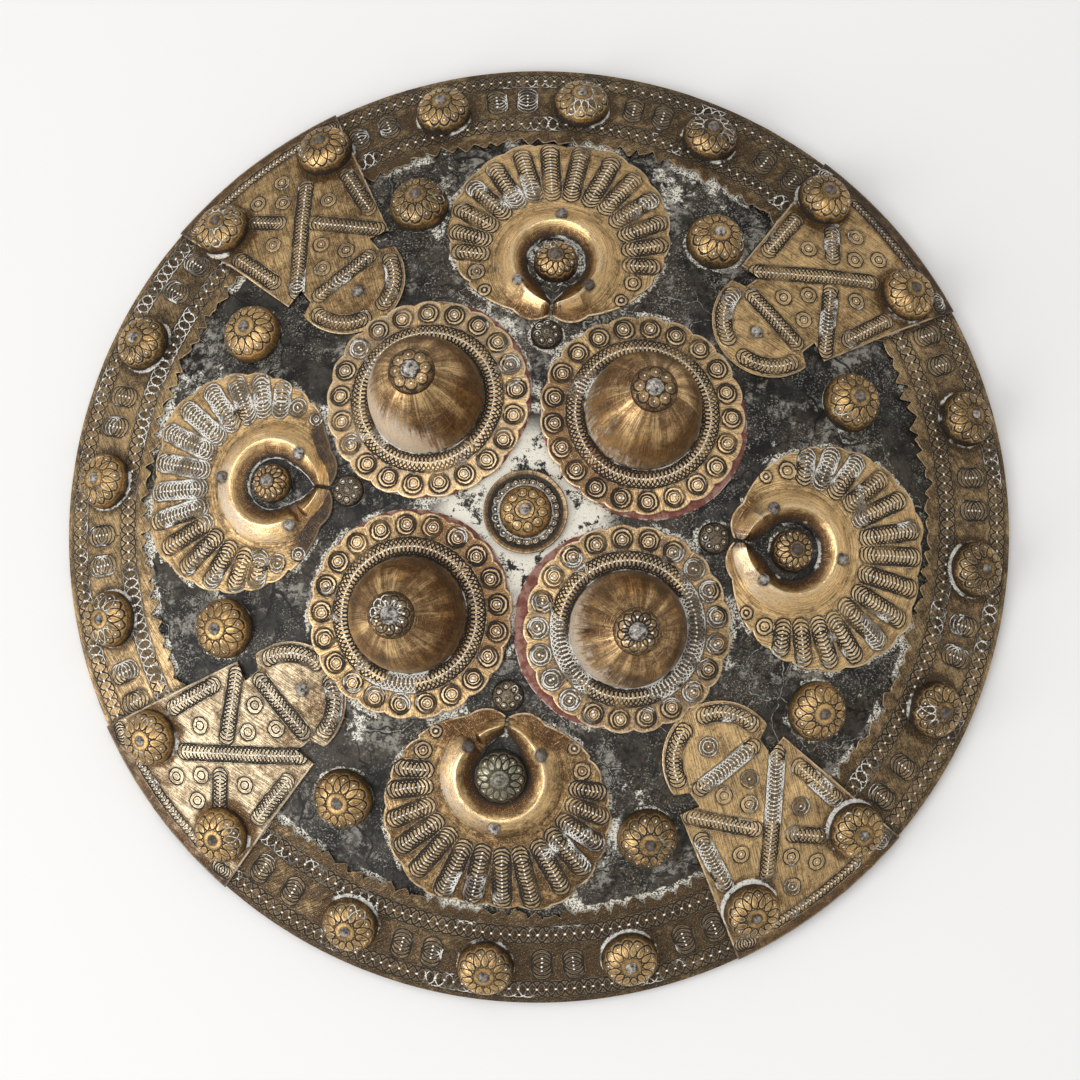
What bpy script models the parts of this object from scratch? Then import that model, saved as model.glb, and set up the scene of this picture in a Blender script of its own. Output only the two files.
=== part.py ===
"""A round dhal shield lying on its rim, face up.

A dome of hide is faced with sheet brass: four rim bands folded over the edge, four corner plaques,
four crescent plaques and four tall bosses on red cloth washers, all held by domed studs. Two leather
grips arch across the hollow back. The face is a part of a sphere, so every sheet lies on a sphere of
the same centre. Metres, +Z up. The origin is in the middle of the circle on which the shield rests.
"""

import math

import bmesh
import bpy
from mathutils import Matrix, Vector

# Hide
DOME_RISE = 0.068
HIDE_THICKNESS = 0.006
REST_WIDTH = 0.004
HIDE_SIDES = 48

# Fits between pieces
SEAT_GAP = 0.0003
FACET_LENGTH = 0.030
BACK_FACET_LENGTH = 0.045
SHEET = 0.0012
CLOTH_THICKNESS = 0.0010
ROUND_SIDES = 16
DRAW_BACK_STEPS = 20

# Bosses, in a ring about the middle of the pattern
PATTERN_SHIFT = (-0.0035, -0.0018)
BOSS_BEARINGS = {"top_right": 40.6, "top_left": 130.2, "bottom_left": 221.0, "bottom_right": 311.0}
FLANGE_RADIUS = 0.0480
FLANGE_SPACING = 0.004
SCALLOPS = 21
SCALLOP_DEPTH = 0.0014
WASHER_SHOWN = 0.0012
WASHER_SIDES = 21
BAND_RING_OUTER = 0.0385
BAND_RING_RELIEF = 0.0010
CONE_FOOT_RADIUS = 0.0280
CONE_WAIST_RADIUS = 0.0195
CONE_WAIST_HEIGHT = 0.0190
CONE_TOP_RADIUS = 0.0095
CONE_HEIGHT = 0.0395
CAP_RADIUS = 0.0115
CAP_HEIGHT = 0.0055
CAP_SHOULDER = 0.72
BOSS_RIVET_RADIUS = 0.0036
BOSS_RIVET_HEIGHT = 0.0012

# Crescent plaques, each round a stud: bearing, and how far that stud is off the common ring
CRESCENTS = {
    "top": (83.6, 0.0),
    "left": (172.1, -0.002),
    "bottom": (264.3, -0.001),
    "right": (352.5, 0.0020),
}
FAN_REACH = 0.0490
FAN_OUTWARD = 0.0210
FAN_BARS = 16
FAN_BARS_END = 108.0
FAN_TIP_STEPS = 4
FAN_LOBE = 0.0010
FAN_BAR_RELIEF = 0.0008
HOLE_RADIUS = 0.0146
CREST_RADIUS = 0.0217
CREST_HEIGHT = 0.0058
SHOULDER_HEIGHT = 0.0042
FOOT_RADIUS = 0.0320
FOOT_OUTWARD = 0.0035
FOOT_LAND = 0.0015
TIP_HOLE_RADIUS = 0.0205
TIP_CREST_RADIUS = 0.0245
SLIT_HALF_ANGLE = 1.8

# Rim bands: bearings of their three studs, and how far each stud is off the common inset
BAND_WIDTH = 0.0427
BAND_STEP = 0.0614
TOOTH_PITCH = 0.0077
TOOTH_DEPTH = 0.0040
LIP_GROUND_GAP = 0.0006
BAND_STUD_INSET = 0.0190
BAND_END_STEPS = 3
BANDS = {
    "top": ("top_right", "top_left", ((65.9, 0.003), (83.9, 0.0025), (102.6, 0.002))),
    "left": ("top_left", "bottom_left", ((155.0, -0.0005), (174.1, 0.0005), (192.5, 0.0005))),
    "bottom": ("bottom_left", "bottom_right", ((245.2, 0.0), (263.5, -0.0025), (282.0, -0.0015))),
    "right": ("bottom_right", "top_right", ((334.6, 0.0005), (353.8, -0.001), (13.7, -0.0025))),
}

# Corner plaques: bearing, and the bearings of the two studs on each
PLAQUES = {
    "top_right": (39.6, (31.7, 48.5)),
    "top_left": (128.0, (119.3, 136.5)),
    "bottom_left": (217.1, (209.1, 224.8)),
    "bottom_right": (306.9, (298.8, 315.8)),
}
PLAQUE_OUTER_HALF = 0.0477
PLAQUE_INNER_HALF = 0.0300
PLAQUE_LENGTH = 0.0740
NOTCH_DEPTH = 0.0095
NOTCH_SLANT = 0.0024
NECK_LENGTH = 0.0076
TAIL_RADIUS = 0.0272
TAIL_SLANT = 0.0032
TAIL_STEPS = 5
PLAQUE_ARC_STEPS = 3
PLAQUE_OVERHANG = 0.0010
PLAQUE_BEND = 0.0100

# Studs
STUD_SIDES = 10
ROSETTE_SIDES = 8
BAND_STUD_RADIUS = 0.0133
BAND_STUD_HEIGHT = 0.0105
FIELD_STUD_RADIUS = 0.0140
FIELD_STUD_HEIGHT = 0.0125
CRESCENT_STUD_RADII = {"top": 0.0108, "left": 0.0098, "bottom": 0.0125, "right": 0.0104}
CRESCENT_STUD_HEIGHT = 0.0105
ROSETTE_RADIUS = 0.0075
ROSETTE_HEIGHT = 0.0045
ROSETTE_STEP = 0.0141
STUD_SINK = 0.0006
FIELD_STEP = 0.0875
FIELD_STUDS = (
    (20.1, 0.0025), (56.2, 0.0005), (108.8, 0.0010), (145.4, -0.0010),
    (199.6, -0.0090), (236.6, -0.0040), (290.5, -0.0010), (326.3, 0.0020),
)

# Plate and stud in the middle
DISH_RADIUS = 0.0194
DISH_WELL_RADIUS = 0.0160
DISH_RIM_HEIGHT = 0.0028
CENTRE_STUD_RADIUS = 0.0121
CENTRE_STUD_HEIGHT = 0.0090

# Grips on the back
GRIP_WIDTH = 0.022
GRIP_THICKNESS = 0.004
GRIP_DEPTH = 0.036
GRIP_PAD = 0.011
GRIP_SECTIONS = 12

# Sizes that follow
BOSS_RING = (2 * FLANGE_RADIUS + FLANGE_SPACING) / math.sqrt(2)
ROSETTE_RING = BOSS_RING + ROSETTE_STEP
CRESCENT_RING = ROSETTE_RING + ROSETTE_RADIUS + 2 * SEAT_GAP + FAN_REACH - FAN_OUTWARD
BAND_INNER_RADIUS = CRESCENT_RING + BAND_STEP
RIM_RADIUS = BAND_INNER_RADIUS + BAND_WIDTH
HIDE_RADIUS = RIM_RADIUS - SHEET - 2 * SEAT_GAP
HOLLOW_RADIUS = HIDE_RADIUS - REST_WIDTH
HOLLOW_RISE = DOME_RISE - HIDE_THICKNESS
DOME_DROP = (HOLLOW_RADIUS ** 2 - HOLLOW_RISE ** 2) / (2 * HOLLOW_RISE)
DOME_RADIUS = DOME_DROP + DOME_RISE
FACET_DIP = FACET_LENGTH ** 2 / (8 * DOME_RADIUS)
BACK_DIP = BACK_FACET_LENGTH ** 2 / (8 * (DOME_RADIUS - HIDE_THICKNESS))
SHEET_LIFT = SEAT_GAP + FACET_DIP
BOSS_LIFT = SHEET_LIFT + CLOTH_THICKNESS + SHEET_LIFT
OVER_BAND = SHEET + SHEET_LIFT


def clear_scene():
    """Remove every object that is in the scene."""
    for item in list(bpy.data.objects):
        bpy.data.objects.remove(item, do_unlink=True)


def make_material(name, colour, roughness, metallic):
    """A Principled BSDF of one colour."""
    material = bpy.data.materials.new(name)
    material.use_nodes = True
    shader = material.node_tree.nodes["Principled BSDF"]
    shader.inputs["Base Color"].default_value = (*colour, 1.0)
    shader.inputs["Roughness"].default_value = roughness
    shader.inputs["Metallic"].default_value = metallic
    return material


def seat(bearing, distance, lift=0.0, shift=(0.0, 0.0)):
    """The frame of a piece on the dome: +Z is the dome's normal, +X points down the slope.

    The bearing and the distance are those of the plan, seen from above, about the point shift.
    """
    angle = math.radians(bearing)
    x = shift[0] + distance * math.cos(angle)
    y = shift[1] + distance * math.sin(angle)
    slope = math.asin(math.hypot(x, y) / DOME_RADIUS)
    turn = Matrix.Rotation(math.atan2(y, x), 4, "Z") @ Matrix.Rotation(slope, 4, "Y")
    down = Matrix.Translation((0.0, 0.0, -DOME_DROP))
    return down @ turn @ Matrix.Translation((0.0, 0.0, DOME_RADIUS + lift))


def pattern_seat(bearing, distance, lift=0.0):
    """A seat about the middle of the pattern, which isn't quite the middle of the hide."""
    return seat(bearing, distance, lift, PATTERN_SHIFT)


def dome_z(x, y, lift):
    """Height, in a seat's own frame, of the sphere that lies lift above the face of the hide."""
    return math.sqrt((DOME_RADIUS + lift) ** 2 - x * x - y * y) - DOME_RADIUS


def on_circle(radius, angle):
    """A point of a circle about the origin; the angle is in degrees."""
    return radius * math.cos(math.radians(angle)), radius * math.sin(math.radians(angle))


def add_ring(bm, points):
    """The corners of a ring, in order."""
    return [bm.verts.new(point) for point in points]


def add_circle(bm, radius, height, sides):
    """A level ring of a turned shape."""
    return add_ring(bm, [(*on_circle(radius, 360 * i / sides), height) for i in range(sides)])


def close_ring(bm, ring, height=None):
    """Fill a ring with one face, or with a fan that meets in a point at the height."""
    face = bm.faces.new(ring)
    if height is not None:
        middle = bmesh.ops.poke(bm, faces=[face])["verts"][0]
        middle.co = (0.0, 0.0, height)


def join_rings(bm, rings, closed=True):
    """Faces from each ring to the next, which may have half or twice as many stretches.

    An open ring is a line of corners with two ends.
    """
    for first, second in zip(rings, rings[1:]):
        fine, coarse = (first, second) if len(first) >= len(second) else (second, first)
        stretches = len(coarse) if closed else len(coarse) - 1
        step = len(fine) // stretches
        for i in range(stretches):
            start, middle, end = (fine[(step * i + j) % len(fine)] for j in (0, 1, step))
            before, after = coarse[i], coarse[(i + 1) % len(coarse)]
            if step == 1:
                bm.faces.new([start, end, after, before])
            else:
                bm.faces.new([start, middle, before])
                bm.faces.new([middle, after, before])
                bm.faces.new([middle, end, after])


def finish(name, bm, material, matrix, smooth_angle=40.0):
    """Turn the mesh into a named object with its faces pointing out."""
    bmesh.ops.recalc_face_normals(bm, faces=bm.faces)
    mesh = bpy.data.meshes.new(name)
    bm.to_mesh(mesh)
    bm.free()
    mesh.shade_smooth()
    mesh.set_sharp_from_angle(angle=math.radians(smooth_angle))
    mesh.materials.append(material)
    piece = bpy.data.objects.new(name, mesh)
    bpy.context.collection.objects.link(piece)
    piece.matrix_world = matrix
    return piece


def make_hide(material):
    """The domed hide: a part of a sphere with a hollow back, cut flat where it rests."""
    bm = bmesh.new()
    face_steps = math.ceil(HIDE_RADIUS / FACET_LENGTH)
    back_steps = math.ceil(HOLLOW_RADIUS / BACK_FACET_LENGTH)
    rings = []
    for i in range(1, face_steps + 1):
        radius = HIDE_RADIUS * i / face_steps
        rings.append(add_circle(bm, radius, DOME_RISE + dome_z(radius, 0.0, 0.0), HIDE_SIDES))
    rings.append(add_circle(bm, HIDE_RADIUS, 0.0, HIDE_SIDES))
    rings.append(add_circle(bm, HOLLOW_RADIUS, 0.0, HIDE_SIDES))
    for i in range(1, back_steps):
        radius = HOLLOW_RADIUS * (1 - i / back_steps)
        rings.append(add_circle(bm, radius, DOME_RISE + dome_z(radius, 0.0, -HIDE_THICKNESS), HIDE_SIDES))
    join_rings(bm, rings)
    close_ring(bm, rings[0], DOME_RISE)
    close_ring(bm, rings[-1], HOLLOW_RISE)
    return finish("hide", bm, material, Matrix.Identity(4))


def make_turned(name, profile, sides, material, matrix):
    """A round piece from the radii and heights of its rings, bottom first, then the height of its top."""
    bm = bmesh.new()
    rings = [add_circle(bm, radius, height, sides) for radius, height in profile[:-1]]
    join_rings(bm, rings)
    close_ring(bm, rings[0])
    close_ring(bm, rings[-1], profile[-1][1])
    return finish(name, bm, material, matrix)


def stud_profile(radius, height):
    """Rings of a domed stud: a short upright foot, a full shoulder and a round top."""
    return ((radius, 0.0), (0.93 * radius, 0.42 * height), (0.58 * radius, 0.84 * height), (0.0, height))


def flange_reach(step):
    """Radius of the scalloped flange at each of its corners: one on a lobe, the next between lobes."""
    return FLANGE_RADIUS if step % 2 else FLANGE_RADIUS - SCALLOP_DEPTH


def make_boss(name, material, matrix):
    """A scalloped flange that follows the dome, with a beaded ring and a tall cone, in one sheet."""
    bm = bmesh.new()

    def level_ring(radius, height, sides):
        return add_circle(bm, radius, height + dome_z(radius, 0.0, BOSS_LIFT), sides)

    def edge_ring(height):
        corners = []
        for step in range(2 * SCALLOPS):
            x, y = on_circle(flange_reach(step), 180 * step / SCALLOPS)
            corners.append((x, y, height + dome_z(x, y, BOSS_LIFT)))
        return add_ring(bm, corners)

    rings = [
        level_ring(CONE_FOOT_RADIUS, 0.0, SCALLOPS),
        edge_ring(0.0),
        edge_ring(SHEET),
        level_ring(BAND_RING_OUTER, SHEET + BAND_RING_RELIEF, SCALLOPS),
        level_ring(CONE_FOOT_RADIUS, SHEET, SCALLOPS),
        level_ring(CONE_WAIST_RADIUS, SHEET + CONE_WAIST_HEIGHT, SCALLOPS),
        level_ring(CONE_TOP_RADIUS, SHEET + CONE_HEIGHT, SCALLOPS),
    ]
    join_rings(bm, rings)
    close_ring(bm, rings[0], BOSS_LIFT)
    close_ring(bm, rings[-1])
    return finish(name, bm, material, matrix)


def make_cloth(name, material, matrix):
    """The washer of cloth between a boss and the hide."""
    bm = bmesh.new()
    outer = FLANGE_RADIUS + WASHER_SHOWN
    top = SHEET_LIFT + CLOTH_THICKNESS
    rings = []
    inner = CONE_FOOT_RADIUS
    for radius, lift in ((inner, SHEET_LIFT), (outer, SHEET_LIFT), (outer, top), (inner, top)):
        rings.append(add_circle(bm, radius, dome_z(radius, 0.0, lift), WASHER_SIDES))
    join_rings(bm, rings + rings[:1])
    return finish(name, bm, material, matrix)


def clear_of_neighbours(spoke, reach):
    """Draw the end of a spoke back until it is clear of the washers, of the field studs and of the rim band.

    The spoke is a function that gives the point of the hide's face at a distance along it.
    """
    neighbours = []
    for bearing in BOSS_BEARINGS.values():
        neighbours.append((pattern_seat(bearing, BOSS_RING).translation, FLANGE_RADIUS + WASHER_SHOWN))
    for bearing, offset in FIELD_STUDS:
        place = pattern_seat(bearing, BOSS_RING + FIELD_STEP + offset).translation
        neighbours.append((place, FIELD_STUD_RADIUS))
    for _ in range(DRAW_BACK_STEPS):
        point = spoke(reach)
        over_band = math.hypot(point.x, point.y) - (BAND_INNER_RADIUS - 2 * SEAT_GAP)
        over_piece = max(radius + 2 * SEAT_GAP - (point - place).length for place, radius in neighbours)
        reach -= max(over_band, over_piece, 0.0)
    return reach


def spoke_from_seat(matrix, angle):
    """The spoke that leaves a seat's own middle at an angle."""

    def spoke(reach):
        x, y = on_circle(reach, angle)
        return matrix @ Vector((x, y, dome_z(x, y, 0.0)))

    return spoke


def fan_columns():
    """Bearings, from straight outward, of the lines across a crescent plaque: bars, valleys and tips."""
    bars = [FAN_BARS_END * (i / FAN_BARS - 1) for i in range(2 * FAN_BARS + 1)]
    step = (180 - SLIT_HALF_ANGLE - FAN_BARS_END) / FAN_TIP_STEPS
    tip = [FAN_BARS_END + step * (i + 1) for i in range(FAN_TIP_STEPS)]
    return [-angle for angle in reversed(tip)] + bars + tip


def make_crescent_plaque(name, material, matrix):
    """A fan of bars round a raised crescent, open towards the middle of the shield."""
    lines = []
    for index, angle in enumerate(fan_columns()):
        on_bar = index % 2 == 1
        outward = math.cos(math.radians(angle))
        tip = max(0.0, (abs(angle) - FAN_BARS_END) / (180 - FAN_BARS_END))
        edge = FAN_REACH + FAN_OUTWARD * outward - (0.0 if on_bar else FAN_LOBE)
        edge = clear_of_neighbours(spoke_from_seat(matrix, angle), edge)
        hole = HOLE_RADIUS + tip * (TIP_HOLE_RADIUS - HOLE_RADIUS)
        crest = CREST_RADIUS + tip * (TIP_CREST_RADIUS - CREST_RADIUS)
        foot = min(FOOT_RADIUS + FOOT_OUTWARD * outward, edge - FOOT_LAND)
        crown = SHEET + FAN_BAR_RELIEF * (on_bar and tip == 0.0)
        profile = (
            (hole, 0.0),
            (hole, SHEET),
            (crest, SHEET + CREST_HEIGHT),
            ((crest + foot) / 2, SHEET + SHOULDER_HEIGHT),
            (foot, crown),
            (edge, crown),
            (edge, 0.0),
            ((hole + edge) / 2, 0.0),
        )
        corners = []
        for radius, height in profile:
            x, y = on_circle(radius, angle)
            corners.append((x, y, dome_z(x, y, SHEET_LIFT + height)))
        lines.append(corners)
    bm = bmesh.new()
    rings = [add_ring(bm, corners) for corners in zip(*lines)]
    scalloped = rings[4:7]
    rings = [ring if ring in scalloped else ring[::2] for ring in rings]
    join_rings(bm, rings + rings[:1], closed=False)
    bm.faces.new([ring[0] for ring in rings])
    bm.faces.new([ring[-1] for ring in rings])
    spare = [corner for corner in bm.verts if not corner.link_faces]
    bmesh.ops.delete(bm, geom=spare, context="VERTS")
    return finish(name, bm, material, matrix)


def pole_frame(bearing):
    """The frame at the top of the dome, with +X towards the bearing."""
    return Matrix.Translation((0.0, 0.0, DOME_RISE)) @ Matrix.Rotation(math.radians(bearing), 4, "Z")


def plaque_half_width(distance):
    """Half the width of a corner plaque's body at a distance from the middle of the shield."""
    share = (RIM_RADIUS - distance) / PLAQUE_LENGTH
    return PLAQUE_OUTER_HALF + share * (PLAQUE_INNER_HALF - PLAQUE_OUTER_HALF)


def plaque_lift(distance):
    """How far a corner plaque lies above the hide: over the rim band first, then down on the hide."""
    share = (distance - BAND_INNER_RADIUS) / PLAQUE_BEND + 1
    return SHEET_LIFT + OVER_BAND * min(max(share, 0.0), 1.0)


def plaque_side(matrix):
    """One side of a corner plaque, seen from above: the rim's arc, the body, the notch and the tail."""
    outer = RIM_RADIUS + PLAQUE_OVERHANG
    half_angle = math.degrees(math.asin(PLAQUE_OUTER_HALF / outer))
    points = [on_circle(outer, half_angle * i / PLAQUE_ARC_STEPS) for i in range(1, PLAQUE_ARC_STEPS + 1)]
    corner = RIM_RADIUS - PLAQUE_LENGTH
    notch_half = PLAQUE_INNER_HALF - NOTCH_DEPTH
    neck_start = corner + NOTCH_SLANT
    neck_end = neck_start - NECK_LENGTH
    tail_middle = neck_end - TAIL_SLANT
    points += [(corner, PLAQUE_INNER_HALF), (neck_start, notch_half), (neck_end, notch_half)]
    for i in range(TAIL_STEPS):
        angle = 90 + 180 * i / (2 * TAIL_STEPS - 1)

        def spoke(reach):
            x, y = on_circle(reach, angle)
            x += tail_middle
            return matrix @ Vector((x, y, dome_z(x, y, 0.0)))

        x, y = on_circle(clear_of_neighbours(spoke, TAIL_RADIUS), angle)
        points.append((tail_middle + x, y))
    return points


def make_corner_plaque(name, stud_bearings, material, matrix):
    """A sheet cut to its outline, cut into facets, thickened and laid on the dome, with its two studs."""
    bm = bmesh.new()
    side = plaque_side(matrix)
    mirrored = [(x, -y) for x, y in plaque_side(matrix @ Matrix.Scale(-1.0, 4, (0.0, 1.0, 0.0)))]
    tail_end = (side[-1][0] + mirrored[-1][0]) / 2
    outline = [(RIM_RADIUS + PLAQUE_OVERHANG, 0.0)] + side + mirrored[::-1]
    bm.faces.new([bm.verts.new((x, y, 0.0)) for x, y in outline])
    rows = (RIM_RADIUS - BAND_WIDTH / 2, BAND_INNER_RADIUS, BAND_INNER_RADIUS - PLAQUE_BEND)
    cuts = [(x, (1.0, 0.0, 0.0)) for x in (*rows, tail_end + TAIL_RADIUS)]
    cuts += [(y, (0.0, 1.0, 0.0)) for y in (-PLAQUE_INNER_HALF / 2, PLAQUE_INNER_HALF / 2)]
    for place, normal in cuts:
        everything = bm.verts[:] + bm.edges[:] + bm.faces[:]
        bmesh.ops.bisect_plane(bm, geom=everything, plane_co=place * Vector(normal), plane_no=normal)
    bmesh.ops.triangulate(bm, faces=bm.faces)
    lower = bm.verts[:]
    upper = bmesh.ops.extrude_face_region(bm, geom=bm.faces[:], use_keep_orig=True)["geom"]
    upper = [item for item in upper if isinstance(item, bmesh.types.BMVert)]
    for corners, rise in ((lower, 0.0), (upper, SHEET)):
        for corner in corners:
            x, y = corner.co.x, corner.co.y
            corner.co.z = dome_z(x, y, plaque_lift(math.hypot(x, y)) + rise)
    piece = finish(name, bm, material, matrix)
    stud_ring = RIM_RADIUS - BAND_STUD_INSET
    for bearing in stud_bearings:
        place = seat(bearing, stud_ring, SHEET_LIFT + OVER_BAND + SHEET - STUD_SINK)
        profile = stud_profile(BAND_STUD_RADIUS, BAND_STUD_HEIGHT + STUD_SINK)
        stud = make_turned(name + "_stud", profile, STUD_SIDES, material, place)
        stud.hide_render = True
        stud.display_type = "WIRE"
        union = piece.modifiers.new("stud", "BOOLEAN")
        union.operation = "UNION"
        union.solver = "EXACT"
        union.object = stud
    return piece


def band_bearings(first_plaque, last_plaque):
    """Bearings of a band's sections and of its first and last tooth; its plain ends lie under plaques."""
    start = PLAQUES[first_plaque][0]
    end = PLAQUES[last_plaque][0]
    if end < start:
        end += 360
    cover = math.degrees(math.asin(plaque_half_width(BAND_INNER_RADIUS) / BAND_INNER_RADIUS))
    joint = math.degrees(SEAT_GAP / BAND_INNER_RADIUS)
    tooth = math.degrees(TOOTH_PITCH / BAND_INNER_RADIUS)
    pairs = math.ceil((end - start - 2 * cover) / (2 * tooth))
    first = (start + end) / 2 - pairs * tooth
    last = first + 2 * pairs * tooth
    hidden = [start + joint + (first - start - joint) * i / BAND_END_STEPS for i in range(BAND_END_STEPS)]
    toothed = [first + 2 * tooth * i for i in range(pairs + 1)]
    ending = [last + (end - joint - last) * (i + 1) / BAND_END_STEPS for i in range(BAND_END_STEPS)]
    return hidden + toothed + ending, first, last


def make_rim_band(name, first_plaque, last_plaque, material):
    """A band that follows the dome, with teeth along its inner edge and a lip folded down over the hide."""
    bm = bmesh.new()
    bearings, first, last = band_bearings(first_plaque, last_plaque)
    middle = (first + last) / 2
    valley = BAND_INNER_RADIUS + TOOTH_DEPTH
    inside = RIM_RADIUS - SHEET
    lip_end = LIP_GROUND_GAP - DOME_RISE
    profile = (
        (valley, dome_z(valley, 0.0, SHEET_LIFT)),
        (valley, dome_z(valley, 0.0, SHEET_LIFT + SHEET)),
        (RIM_RADIUS, dome_z(RIM_RADIUS, 0.0, SHEET_LIFT + SHEET)),
        (RIM_RADIUS, lip_end),
        (inside, lip_end),
        (inside, dome_z(inside, 0.0, SHEET_LIFT)),
        ((valley + inside) / 2, dome_z((valley + inside) / 2, 0.0, SHEET_LIFT)),
    )
    sections = []
    for bearing in bearings:
        sections.append(add_ring(bm, [(*on_circle(radius, bearing - middle), z) for radius, z in profile]))
    join_rings(bm, sections)
    close_ring(bm, sections[0])
    close_ring(bm, sections[-1])
    for rise in (0.0, SHEET):
        height = dome_z(valley, 0.0, SHEET_LIFT + rise)
        edges = []
        for edge in bm.edges:
            along = (edge.verts[0].co + edge.verts[1].co) / 2
            level = all(abs(corner.co.z - height) < SEAT_GAP for corner in edge.verts)
            shown = abs(math.degrees(math.atan2(along.y, along.x))) < last - middle
            if level and shown and math.hypot(along.x, along.y) < valley:
                edges.append(edge)
        for edge in edges:
            start, end = (math.degrees(math.atan2(corner.co.y, corner.co.x)) for corner in edge.verts)
            split = bmesh.ops.subdivide_edges(bm, edges=[edge], cuts=3)["geom_inner"]
            for corner in (item for item in split if isinstance(item, bmesh.types.BMVert)):
                bearing = math.degrees(math.atan2(corner.co.y, corner.co.x))
                between_teeth = abs(bearing - (start + end) / 2) < abs(end - start) / 8
                x, y = on_circle(valley if between_teeth else BAND_INNER_RADIUS, bearing)
                corner.co = (x, y, dome_z(x, y, SHEET_LIFT + rise))
    bmesh.ops.triangulate(bm, faces=bm.faces)
    return finish(name, bm, material, pole_frame(middle))


def make_dish(name, material, matrix):
    """The round plate in the middle, with its rim turned up."""
    profile = (
        (DISH_WELL_RADIUS, 0.0),
        (DISH_RADIUS, DISH_RIM_HEIGHT - SHEET),
        (DISH_RADIUS, DISH_RIM_HEIGHT),
        (DISH_WELL_RADIUS, SHEET),
        (0.0, SHEET),
    )
    return make_turned(name, profile, ROUND_SIDES, material, matrix)


def make_grip(name, first_boss, last_boss, material):
    """A leather strap across the hollow back, from one boss's rivet to the next."""
    ends = [pattern_seat(BOSS_BEARINGS[boss], BOSS_RING).translation for boss in (first_boss, last_boss)]
    middle = (ends[0] + ends[1]) / 2
    matrix = seat(math.degrees(math.atan2(middle.y, middle.x)), math.hypot(middle.x, middle.y))
    start, end = (matrix.inverted() @ point for point in ends)
    along = (end - start).normalized()
    start -= GRIP_PAD * along
    end += GRIP_PAD * along
    pad = 2 * GRIP_PAD / (end - start).length
    dome_centre = Vector((0.0, 0.0, -DOME_RADIUS))
    back = DOME_RADIUS - HIDE_THICKNESS - BACK_DIP - SHEET_LIFT
    path = []
    for i in range(GRIP_SECTIONS + 1):
        share = i / GRIP_SECTIONS
        arch = min(max((share - pad) / (1 - 2 * pad), 0.0), 1.0)
        depth = GRIP_DEPTH * (1 - math.cos(2 * math.pi * arch)) / 2
        direction = (start.lerp(end, share) - dome_centre).normalized()
        path.append(dome_centre + (back - depth) * direction)
    bm = bmesh.new()
    sections = []
    for i, point in enumerate(path):
        run = (path[min(i + 1, GRIP_SECTIONS)] - path[max(i - 1, 0)]).normalized()
        across = run.cross(point - dome_centre).normalized()
        inward = run.cross(across).normalized()
        side = across * GRIP_WIDTH / 2
        inner = point + inward * GRIP_THICKNESS
        sections.append(add_ring(bm, [point - side, point + side, inner + side, inner - side]))
    join_rings(bm, sections)
    close_ring(bm, sections[0])
    close_ring(bm, sections[-1])
    return finish(name, bm, material, matrix)


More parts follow.
